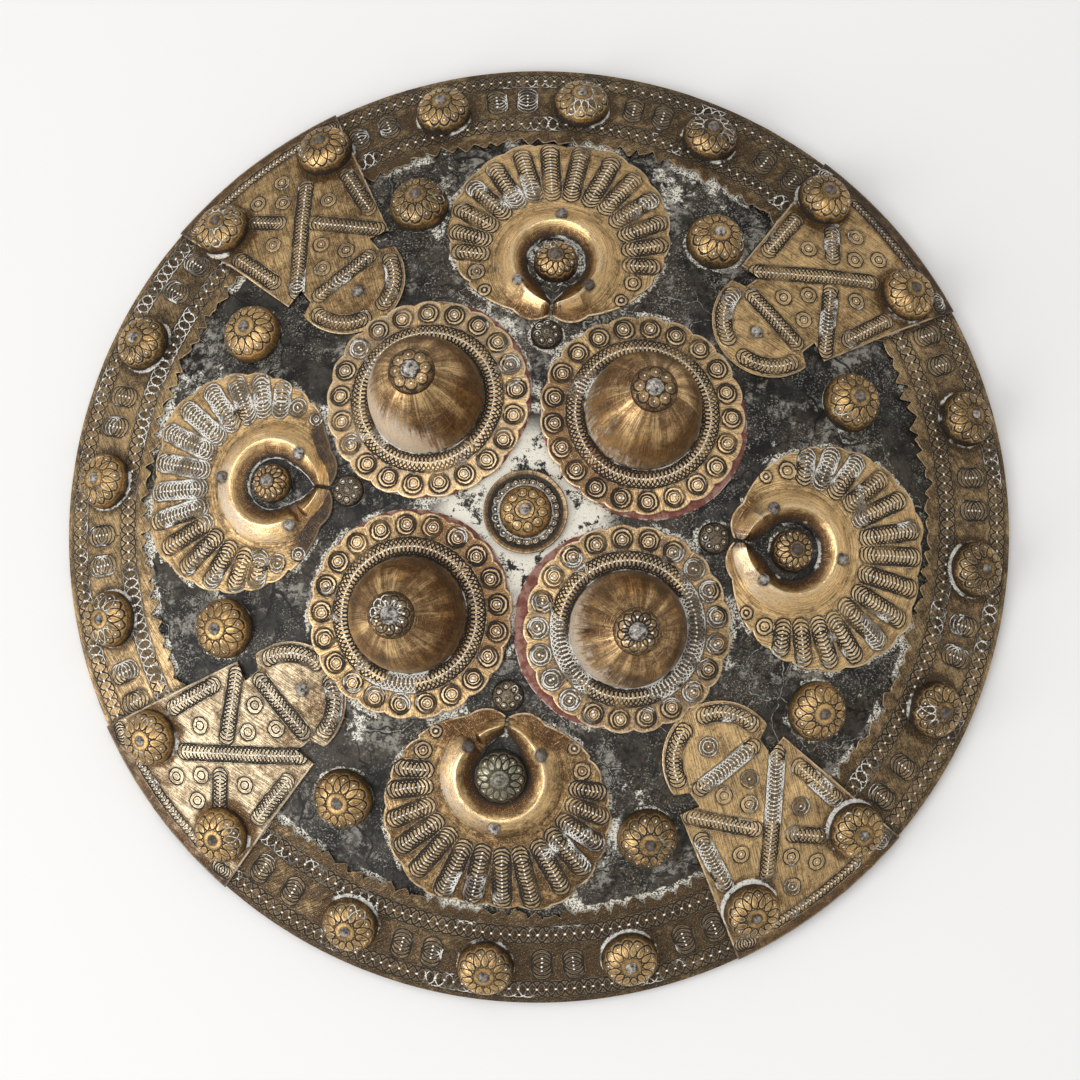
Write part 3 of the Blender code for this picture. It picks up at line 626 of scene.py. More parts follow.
def jagged(angle, seed):
    """How far each tooth of a snipped edge is cut back, from 0 at a tip to about 1 in a valley."""
    dice = np.random.default_rng(seed)
    tooth = angle * BAND_INNER_RADIUS / TOOTH_PITCH
    number = np.floor(tooth).astype(int)
    share = tooth - number
    tip = dice.uniform(-0.30, 0.45, 200)[number % 200]
    valley = dice.uniform(0.45, 1.30, 200)[number % 200]
    blunt = dice.uniform(0.0, 0.6, 200)[number % 200]
    lean = dice.uniform(0.22, 0.78, 200)[number % 200]
    rise = np.where(share < lean, share / lean, (1 - share) / (1 - lean))
    return limited(1 - rise) * valley + tip * rise + blunt * (rise > 0.8) * (rise - 0.8)


def brushed(u, v, along, aside):
    """Places of a sheet turned the way that it was brushed."""
    return np.column_stack((u * along + v * aside, v * along - u * aside, 0 * u))


def stud_gap(x, y):
    """How far a place of the margin's plan lies outside the nearest stud."""
    nearest = np.full(len(x), 0.009)
    seats = [(b, STUD_RING - inset) for studs in BAND_STUDS.values() for b, inset in studs]
    for bearing, ring in seats + [(b, STUD_RING) for b in PLAQUE_STUDS]:
        middle = ring * toward(math.radians(bearing))
        slope = math.cos(math.asin(ring / DOME_RADIUS))
        outward = ((x - middle[0]) * middle[0] + (y - middle[1]) * middle[1]) / ring
        sideways = ((y - middle[1]) * middle[0] - (x - middle[0]) * middle[1]) / ring
        nearest = np.minimum(nearest, np.maximum(np.hypot(outward / slope, sideways) - STUD_REACH, 0.0))
    return nearest


for number, (place, (start, end)) in enumerate(BAND_JOINTS.items()):
    middle = math.radians((start + end) / 2)
    half = math.radians((end - start) / 2) - 0.002
    columns = round(2 * half * RIM_RADIUS * 0.92 / GRID)
    rows = round(BAND_REACH / GRID)
    band, across, along = add_grid("punched_band_" + place, columns, rows)
    angle = half * (2 * across - 1)
    seen = limited((half - np.abs(angle)) / 0.02)
    cut = TOOTH_DEPTH * jagged(angle + middle, 11 + number) * seen
    inner = BAND_INNER_RADIUS + cut + 0.0011 * clean_noise(angle * 0.2, 0 * angle, 0.016, 21 + number)
    share = limited(along / LIP_SHARE)
    fold = limited((along - LIP_SHARE) / (1 - LIP_SHARE))
    radius = inner + (RIM_RADIUS - LIP_ROUND - inner) * share
    radius = np.minimum(radius + LIP_ROUND * np.sin(limited(fold * 3) * math.pi / 2), RIM_RADIUS)
    u, v = unrolled(radius, angle)
    unrolled_half = half * math.cos(CONE_SLOPE)
    figures = []
    for row, pitch in ((OUTER_ROW, 4.4), (INNER_ROW, 4.3)):
        ends = -unrolled_half, unrolled_half
        figures.append(ring_arc((0.0, 0.0), CONE_REACH * MM + row, *ends, 4.3, pitch, LINKED))
    studs = sorted([start + 6.0] + [bearing for bearing, _ in BAND_STUDS[place]] + [end - 6.0])
    for first, second in zip(studs, studs[1:]):
        for portion in (0.39, 0.61):
            bearing = math.radians(first + portion * (second - first)) - middle
            bearing *= math.cos(CONE_SLOPE)
            near, far = ((CONE_REACH * MM + reach) * toward(bearing) for reach in (-1.6, 4.8))
            figures.append(ring_bar(near, far, 4.8, 2.1))
    height = punch(band, figures, u, v, 0.30)
    add_measure(band, "rim", np.minimum((radius - inner) * MM + 0.55, 9.0) + 9.0 * (fold > 0))
    add_measure(band, "grain", brushed(u, v, 0.8, 0.6))
    crevice = stud_gap(*round_middle(radius, angle + middle))
    for joint in (start, end):
        aside = radius * np.abs(np.sin(angle + middle - math.radians(joint)))
        inward = RIM_RADIUS - radius * np.cos(angle + middle - math.radians(joint))
        crevice = np.minimum(crevice, np.maximum(aside - PLAQUE_OUTER_HALF + 0.239 * inward, 0.0))
    add_measure(band, "crevice", crevice * MM + 9.0 * (fold > 0))
    lift = SHEET_LIFT + SHEET + height * (1 - fold) + 0.0002 * clean_noise(u / MM, v / MM, 0.03, 31 + number)
    z = dome_z(radius, 0.0, lift)
    edge_z = dome_z(RIM_RADIUS, 0.0, SHEET_LIFT + SHEET)
    foot_z = LIP_END - DOME_RISE
    z = np.where(fold > 0.33, edge_z - 0.0003 + (foot_z - edge_z) * (fold - 0.33) / 0.67, z)
    matrix = Matrix.Translation((0.0, 0.0, DOME_RISE)) @ Matrix.Rotation(middle, 4, "Z")
    beat(band, matrix, *round_middle(radius, angle), z, (0.0, 0.0, -0.0008), "brass", "rim_band_" + place)


def new_group(name, given, results):
    """A node group with named sockets of each kind: its inputs as shades, and its result sockets."""
    tree = bpy.data.node_groups.new(name, "ShaderNodeTree")
    for direction, kinds in (("INPUT", given), ("OUTPUT", results)):
        for kind, names in kinds.items():
            for socket in names:
                tree.interface.new_socket(socket, in_out=direction, socket_type="NodeSocket" + kind)
    sockets = add_node(tree, "NodeGroupInput").outputs
    inputs = {socket.name: Shade(socket) for socket in sockets if socket.name}
    return tree, inputs, add_node(tree, "NodeGroupOutput").inputs


def parts(vector):
    """The three numbers of a vector."""
    return [Shade(socket) for socket in add_node(vector.tree, "ShaderNodeSeparateXYZ", vector).outputs]


def punched_figures():
    """Node group: the grooves of ring punches, painted highlights on the raised edges beside them, and the
    beads in their middles, from a sheet's figures.
    """
    tree, given, results = new_group(
        "Punched figures", {"Float": ("Groove width",)}, {"Float": ("Groove", "Bead", "Burr highlight")},
    )
    u, v, last = parts(attribute(tree, "place", True))
    radius, step, inner = parts(attribute(tree, "form", True))
    struck = attribute(tree, "struck")
    place = object_place(tree)
    shake = centred(noise(place, 260.0, 1.0), 0.9) + centred(noise(place, 900.0, 1.0), 0.7)
    u, v = u + shake, v - shake
    turned = highest(v * attribute(tree, "bend") + 1.0, 0.2)
    half = maths("SQRT", highest(radius * radius - v * v, 0.0)) / turned

    def from_ring(position, aside):
        """How far a place lies from the middle of the ring that is nearest to a position along the row."""
        number = lowest(highest(maths("ROUND", position / step), 0.0), last)
        offset = (u - number * step) * turned
        return maths("SQRT", offset * offset + aside * aside)

    first = abs(from_ring(u - half, v) - radius)
    second = abs(from_ring(u + half, v) - radius)
    overstruck = (abs(v) < radius * 0.50) * (u > radius) * (inner > -0.5)
    second = second + overstruck * 9.0
    paired = inner > 0.65
    reach = maths("SQRT", (u - paired * 0.55) ** 2.0 + v * v)
    inner_line = abs(reach - inner * radius) + (inner < 0.05) * 9.0
    innermost = abs(reach - radius * 0.43) + (9.26 - paired * 9.0)
    line = lowest(first, second, inner_line, innermost)
    width = given["Groove width"] * (1.0 + paired * 0.5)
    groove = smooth_step(line, width, width * 0.45)
    # A bright line just outside each groove: a painted highlight on the punch's raised edge.
    burr_highlight = smooth_step(abs(line - width - 0.18), 0.30, 0.05)
    apart = abs(u) - paired * 0.80
    pair = maths("SQRT", apart * apart + v * v)
    outer_beads = inner < -1.5
    in_row = from_ring(u, v - outer_beads * radius * 0.55)
    size = lowest(step * 0.29, 0.68 - outer_beads * 0.20)
    bead = smooth_step(paired * pair + (1.0 - paired) * in_row, size, size * 0.6)
    bare = 1.0 - bead
    feed(results["Groove"], groove * bare * struck)
    feed(results["Bead"], bead * struck)
    feed(results["Burr highlight"], burr_highlight * bare * struck)
    return tree


def old_brass():
    """Node group: old sheet brass, brown with age, bright where polished by use, dark or chalky in its
    hollows, with painted shade and painted highlights.
    """
    numbers = ("Aged", "Chalky", "Burr sheen", "Groove", "Bead", "Burr highlight")
    tree, given, results = new_group(
        "Old brass", {"Color": ("Metal", "Age", "Grime", "Chalk"), "Float": numbers},
        {"Color": ("Color",), "Float": ("Roughness", "Metallic", "Height")},
    )
    metal, grime, chalky, bead = (given[name] for name in ("Metal", "Grime", "Chalky", "Bead"))
    place = object_place(tree)
    patches = noise(place, 48.0, 4.0, 0.65)
    mottle = noise(place, 170.0, 4.0, 0.75)
    fine = noise(place, 1000.0, 3.0, 0.7)
    finest = noise(place, 2100.0, 2.0, 0.6)
    grain = attribute(tree, "grain", True)
    strokes = noise(mapped(grain, Scale=(2.6, 0.07, 1.0)), 1.0, 3.0, 0.6)
    struck, crevice, shine = (attribute(tree, name) for name in ("struck", "crevice", "shine"))
    groove = given["Groove"] * smooth_step(noise(place, 75.0, 2.0, 0.6), 0.36, 0.50, 0.62, 1.0)

    x, y, _ = parts(place)
    # The (x + y) term makes brass browner towards the upper right, away from the window: painted shade, and a
    # difference in patina.
    aged = given["Aged"] + (x + y) * 0.30 + centred(noise(place, 16.0, 3.0, 0.6), 1.1)
    aged = aged + (centred(mottle, 1.7) + centred(patches, 0.9)) + centred(fine, 0.8)
    # Browner within about 5 mm of each crevice and foot: patina, and painted shade.
    crevice_patina_and_shade = smooth_step(crevice + centred(patches, 5.0), 5.0, 0.0)
    aged = smooth_step(aged + crevice_patina_and_shade * 0.60 - shine * 0.55, 0.0, 1.0)
    colour = blend(aged, metal, given["Age"])
    scratch = smooth_step(strokes, 0.49, 0.57) * (1.0 - shine * 0.7)
    colour = blend(scratch * 0.60, colour, grime)

    gather = noise(place, 24.0, 3.0) + centred(patches, 0.5) + centred(chalky, 0.24)
    gather = smooth_step(gather, 0.51, 0.56)
    film = attribute(tree, "stacked") * smooth_step(patches, 0.35, 0.65, 0.08, 0.48)
    film = highest(film, gather * struck * 0.62, struck * (1.0 - struck) * 2.4)
    colour = blend(film, colour, grime)
    # Dark brown tarnish. On the cones it is also painted shade, with less of it on the side that faces the
    # window.
    tarnish_and_painted_shade = attribute(tree, "tarnish_and_painted_shade") + (centred(mottle, 0.9) + centred(patches, 0.9))
    tarnish_and_painted_shade = smooth_step(tarnish_and_painted_shade, 0.10, 0.90)
    colour = blend(tarnish_and_painted_shade * 0.85, colour, (0.125, 0.058, 0.024, 1.0))
    # Pale and dull on the window side of cones and crescents: a painted highlight.
    painted_window_sheen = attribute(tree, "painted_window_sheen") + (centred(mottle, 1.0) + centred(strokes, 1.6))
    painted_window_sheen = smooth_step(painted_window_sheen, 0.15, 0.95)
    colour = blend(painted_window_sheen * 0.80, colour, (0.76, 0.65, 0.52, 1.0))
    crossed = smooth_step(noise(mapped(grain, Scale=(0.22, 2.4, 1.0)), 1.0, 3.0, 0.65), 0.58, 0.64)
    colour = blend(crossed * smooth_step(patches, 0.42, 0.62) * tarnish_and_painted_shade * 0.75, colour, metal)
    colour = blend(smooth_step(fine, 0.56, 0.68) * 0.45, colour, grime)

    # Bright along worn edges, and along each crescent's crest, where it is polish and a painted highlight.
    worn_and_crest_highlight = smooth_step(attribute(tree, "rim"), 1.1, 0.2) * smooth_step(mottle, 0.35, 0.6)
    # Bright raised edges beside the grooves: brass rubbed bright, and a painted highlight.
    burr_sheen = given["Burr highlight"] * smooth_step(patches, 0.30, 0.60, 0.30, 1.0) * (1.0 - gather)
    burr_sheen = burr_sheen * (1.0 - aged * 0.55) * given["Burr sheen"]
    glints = smooth_step(finest, 0.37, 0.33) * 0.55
    bright = blend(0.50, metal, (1.0, 0.89, 0.68, 1.0))
    colour = blend(highest(worn_and_crest_highlight, burr_sheen, glints) * 0.95, colour, bright)
    # Beads near white: polish dried in them, and a painted highlight on their tops.
    colour = blend(bead, colour, (1.0, 0.97, 0.90, 1.0))
    colour = blend(groove, colour, grime)
    # Near black where the piece keeps a well: soot in hollows and round rivets, and painted shade at the feet
    # of studs and caps.
    soot_and_painted_shade = smooth_step(attribute(tree, "well") + centred(mottle, 0.7), 0.25, 0.85)
    colour = blend(soot_and_painted_shade * 0.92, colour, (0.020, 0.016, 0.014, 1.0))

    grit = smooth_step(finest, 0.64, 0.68) * 0.75 * (aged * chalky)
    line = smooth_step(crevice + (centred(mottle, 3.0) + centred(fine, 2.0)), 0.80, 0.30)
    line = line * smooth_step(patches + centred(chalky, 0.20), 0.42, 0.50)
    chalk = highest(gather * groove ** 3.2, line) * smooth_step(fine, 0.36, 0.46)
    chalk = highest(chalk, grit)
    feed(results["Color"], blend(chalk, colour, given["Chalk"]))
    dull = highest(aged * 0.55, groove, chalk, soot_and_painted_shade, film)
    feed(results["Roughness"], smooth_step(dull, 0.0, 1.0, 0.38, 0.75) - shine * 0.17)
    covered = highest(chalk, highest(soot_and_painted_shade, groove) * 0.7, bead, painted_window_sheen * 0.7)
    feed(results["Metallic"], smooth_step(covered, 0.0, 1.0, 1.0, 0.15))
    feed(results["Height"], bead * 0.8 - given["Groove"] - scratch * 0.14 + mottle * 0.75)
    return tree


FIGURES = punched_figures()
OLD_BRASS = old_brass()


def brass(name, metal, age, aged, groove_width=0.42, chalky=0.8, burr_sheen=0.8):
    """A brass of one age, with its punched figures."""
    material = bpy.data.materials.new(name)
    material.use_nodes = True
    figures = add_node(material.node_tree, "ShaderNodeGroup", node_tree=FIGURES)
    surface = add_node(material.node_tree, "ShaderNodeGroup", node_tree=OLD_BRASS)
    figures.inputs["Groove width"].default_value = groove_width
    values = {
        "Metal": (*metal, 1.0), "Age": (*age, 1.0), "Aged": aged, "Chalky": chalky, "Burr sheen": burr_sheen,
        "Grime": (0.017, 0.013, 0.010, 1.0), "Chalk": (0.76, 0.74, 0.68, 1.0),
    }
    values.update({socket.name: Shade(socket) for socket in figures.outputs})
    for socket, value in values.items():
        feed(surface.inputs[socket], value)
    results = [Shade(surface.outputs[result]) for result in ("Color", "Roughness", "Metallic", "Height")]
    finish(material, *results, BRASS_BUMPS)
    return material


BAND_WEAR = {"top": (0.70, 0.22), "left": (0.56, 0.48), "bottom": (1.00, 0.28), "right": (0.56, 0.26)}
for place, (aged, chalky) in BAND_WEAR.items():
    shades = (0.68, 0.47, 0.24), (0.112, 0.072, 0.039)
    band_brass = brass("brown band brass " + place, *shades, aged, 0.42, chalky, 0.6)
    bpy.data.objects["punched_band_" + place].data.materials.append(band_brass)

# The corner plaques: four notched sheets of brass with lobed tails, laid over the joints of the rim bands. A
# cross of ring-punched bars divides each, with small ring-and-dot figures between, on brushed ground.
PLAQUES = {"top_right": 39.6, "top_left": 128.0, "bottom_left": 217.1, "bottom_right": 306.9}
PLAQUE_INNER_HALF = 0.0300
PLAQUE_CORNER = 0.1510
NECK_START = 0.1534
NECK_HALF = 0.0205
NECK_END = 0.1458
TAIL_MIDDLE = 0.1426
TAIL_RADIUS = 0.0272
OVER_BAND = SHEET + SHEET_LIFT
PLAQUE_BEND = 0.010
PLAQUE_RIVET = 0.1345
KEEP, BODY, NECK = 0.68, 0.64, 0.70
SOOTY_MARGIN = {"top_right": (11.5, 0.74)}
PLAQUE_WEAR = {
    "top_right": (0.40, 0.0), "top_left": (0.54, 0.10),
    "bottom_left": (0.58, 0.05), "bottom_right": (0.26, 0.62),
}
PLAQUE_BARS = (
    ((166.5, 28.3), (187.5, 33.2)), ((167.0, -29.0), (188.5, -32.8)),
    ((154.8, 23.0), (197.0, -13.6)),
    ((189.5, 7.2), (198.5, 17.6)), ((176.9, -5.6), (155.0, -26.0)),
    ((146.6, -15.2), (146.6, 15.2)),
)
PLAQUE_RINGS = (
    (206.3, 9.0), (197.4, 0.4), (207.0, -6.8), (182.7, 17.3), (183.2, -17.4),
    (156.8, 6.0), (167.0, -1.4), (157.0, -8.6),
)


def in_plan(points):
    """Places measured in the plan, in millimetres, on the margin rolled out flat."""
    points = np.array(points, dtype=float) / MM
    return np.column_stack(unrolled(np.hypot(*points.T), np.arctan2(points[:, 1], points[:, 0])))


def by_hand(points, dice):
    """Places in the plan, each struck a little off its mark."""
    return in_plan(np.array(points) + dice.normal(0, 0.45, np.shape(points)))


for number, (place, bearing) in enumerate(PLAQUES.items()):
    dice = np.random.default_rng(50 + number)
    plaque, across, along = add_grid("punched_plaque_" + place, 124, 152)
    column = 2 * across - 1
    outer = RIM_RADIUS + 0.0008
    share = limited(along / BODY)
    half = PLAQUE_OUTER_HALF + share * (PLAQUE_INNER_HALF - PLAQUE_OUTER_HALF)
    narrow = half * NECK_HALF / PLAQUE_INNER_HALF
    shoulder = np.sign(column) * (narrow + (np.abs(column) - KEEP) / (1 - KEEP) * (half - narrow))
    y = np.where(np.abs(column) <= KEEP, column / KEEP * narrow, shoulder)
    past_neck = limited((np.abs(y) - NECK_HALF) / (PLAQUE_INNER_HALF - NECK_HALF))
    inner_x = NECK_START + (PLAQUE_CORNER - NECK_START) * past_neck
    rim_x = np.sqrt(outer ** 2 - y ** 2)
    x = rim_x + share * (inner_x - rim_x)
    neck = limited((along - BODY) / (NECK - BODY))
    neck_y = np.clip(column / KEEP, -1, 1) * NECK_HALF
    x = np.where(along > BODY, NECK_START + neck * (NECK_END - NECK_START), x)
    y = np.where(along > BODY, neck_y, y)
    tail = limited((along - NECK) / (1 - NECK))
    swell = limited(tail / 0.06)
    arc = limited((tail - 0.06) / 0.94) * math.pi / 2
    tail_half = NECK_HALF + swell * (TAIL_RADIUS - NECK_HALF)
    tail_half = np.where(arc > 0, TAIL_RADIUS * np.cos(arc), tail_half)
    tail_x = NECK_END + swell * (TAIL_MIDDLE - NECK_END) - TAIL_RADIUS * np.sin(arc) * 0.985
    x = np.where(tail > 0, tail_x, x)
    y = np.where(tail > 0, np.clip(column / KEEP, -1, 1) * tail_half, y)
    radius, angle = np.hypot(x, y), np.arctan2(y, x)
    u, v = unrolled(radius, angle)
    figures = [ring_bar(*by_hand(ends, dice), 3.9, 1.95) for ends in PLAQUE_BARS]
    figures += [ring_bar(centre, centre, 4.1, inner=0.50) for centre in by_hand(PLAQUE_RINGS, dice)]
    figures.append(ring_arc((0.0, 0.0), CONE_REACH * MM + 14.9, -0.093, 0.093, 2.6, 2.1))
    for side in (-1, 1):
        figures.append(ring_bar(*in_plan(((217.3, 38.5 * side), (216.0, 42.5 * side))), 3.4, 1.3))
    tail_middle = in_plan([(TAIL_MIDDLE * MM, 0.0)])[0]
    if place == "bottom_right":
        scar = in_plan([(134.5, -1.0)])[0]
        figures.append(ring_bar(scar, scar, 4.4, inner=0.62))
    figures.append(ring_arc(tail_middle, 22.3, 1.78, 2.86, 4.0, 1.95))
    figures.append(ring_arc(tail_middle, 22.3, 3.42, 4.50, 4.0, 1.95))
    height = punch(plaque, figures, u, v, 0.40)
    edge = (half - np.abs(y)) * MM
    edge = np.where(along > BODY, (NECK_HALF - np.abs(y)) * MM, edge)
    edge = np.where(tail > 0, (TAIL_RADIUS - np.hypot(x - TAIL_MIDDLE, y)) * MM, edge)
    add_measure(plaque, "rim", np.clip(np.minimum(edge, (outer - radius) * MM + 0.2), 0.0, 9.0))
    margin_width, margin_soot = SOOTY_MARGIN.get(place, (5.5, 0.62))
    margin = 0.85 * np.exp(-((outer - radius) * MM / margin_width) ** 4) + 0.5 * np.exp(-(edge / 2.5) ** 2)
    on_tail = 0.42 * limited(tail / 0.2) * (place == "top_left")
    add_measure(plaque, "tarnish_and_painted_shade", np.clip(np.maximum(margin, on_tail), 0.0, 0.85))
    from_rivet = np.hypot(x - PLAQUE_RIVET, y) * (1.0 if place != "bottom_right" else 9.0) * MM
    soot_and_painted_shade = np.maximum(0.75 * np.exp(-(from_rivet / 4.6) ** 4), margin_soot * limited(margin))
    add_measure(plaque, "well", soot_and_painted_shade)
    facing = angle + math.radians(bearing)
    add_measure(plaque, "crevice", stud_gap(*round_middle(radius, facing)) * MM)
    along_u, along_v = (0.94, 0.34) if place in ("top_right", "bottom_left") else (0.34, 0.94)
    add_measure(plaque, "grain", brushed(u, v, along_u, along_v))
    share = limited((radius - BAND_INNER_RADIUS) / PLAQUE_BEND + 1)
    buckle = 0.0002 * clean_noise(u / MM, v / MM, 0.04, 60 + number)
    lift = SHEET_LIFT + OVER_BAND * share + SHEET + height + buckle
    matrix = Matrix.Translation((0.0, 0.0, DOME_RISE)) @ Matrix.Rotation(math.radians(bearing), 4, "Z")
    move_corners(plaque, matrix, x, y, dome_z(x, y, lift))
    outside = (along > BODY + 0.001) & (np.abs(column) > KEEP + 0.005)
    bpy.ops.object.mode_set(mode="EDIT")
    bpy.ops.mesh.select_all(action="DESELECT")
    bpy.ops.mesh.select_mode(type="VERT")
    bpy.ops.object.mode_set(mode="OBJECT")
    plaque.data.vertices.foreach_set("select", outside)
    bpy.ops.object.mode_set(mode="EDIT")
    bpy.ops.mesh.delete(type="VERT")
    bpy.ops.object.mode_set(mode="OBJECT")
    close_seams(plaque)
    fold_edge((0.0, 0.0, -0.0010))
    ride_and_replace(plaque, "brass", "corner_plaque_" + place)
    aged, chalky = PLAQUE_WEAR[place]
    bright = (0.74, 0.60, 0.40) if place == "bottom_left" else (0.82, 0.56, 0.27)
    name = "plaque brass " + place.replace("_", " ")
    plaque.data.materials.append(brass(name, bright, (0.16, 0.090, 0.040), aged, 0.40, chalky))

# The crescent plaques: four fans of thin brass beaten up into a polished crescent that is open to the middle,
# with a bar of ring punches on each lobe and an iron rivet at the crown and at each horn.
HOLE_RADIUS = 0.0120
FULL_HOLE_RADIUS = 0.0134
CREST_RADIUS = 0.0204
CREST_HEIGHT = 0.0058
FOOT_RADIUS = 0.0290
HORN_WIDTH = 0.0036
LONG_HORN = {"left": -1, "bottom": 1}
CRESCENT_RIVETS = {
    "top": ((24.0, -2.0), (21.0, -128.0), (21.0, 128.0)),
    "left": ((24.7, -2.0), (19.1, -131.0), (23.0, 123.0)),
    "bottom": ((24.0, 0.0), (20.5, -128.0), (21.5, 126.0)),
    "right": ((24.0, 0.0), (20.5, -128.0), (21.5, 126.0)),
}
FAN_BARS = 16
FAN_STEP = 13.4
TIP_HOLE_RADIUS = 0.0205
TIP_CREST_RADIUS = 0.0242
FAN_WEAR = {"top": (0.34, 0.24), "left": (0.42, 0.80), "bottom": (0.82, 0.02), "right": (0.20, 0.24)}
FAN_WINDOW_SHEEN = {"top": 0.20, "left": 0.75, "bottom": 0.50, "right": 0.60}
FLAT_HORN_SOOT = {"left": 0.66, "bottom": 0.40}
WELL_CHALK = {"top": 0.9, "left": 1.1, "bottom": 0.9, "right": 0.55}


def fan_edge(matrix, angle):
    """How far a fan reaches at each angle, drawn back from the bosses' washers and from the rim bands."""
    outward = np.cos(angle)
    edge = FAN_REACH + FAN_LEAN * outward
    bosses = [seat(bearing, BOSS_RING).translation for bearing in BOSSES.values()]
    for _ in range(20):
        x, y = round_middle(edge, angle)
        spots = np.column_stack((x, y, dome_z(x, y, 0.0), np.ones(len(x)))) @ np.array(matrix).T
        over = np.hypot(spots[:, 0], spots[:, 1]) - (BAND_INNER_RADIUS - 0.0007)
        for boss in bosses:
            gap = np.linalg.norm(spots[:, :3] - np.array(boss), axis=1)
            over = np.maximum(over, FLANGE_RADIUS + 0.0018 - gap)
        edge = edge - np.maximum(over, 0.0)
    return edge


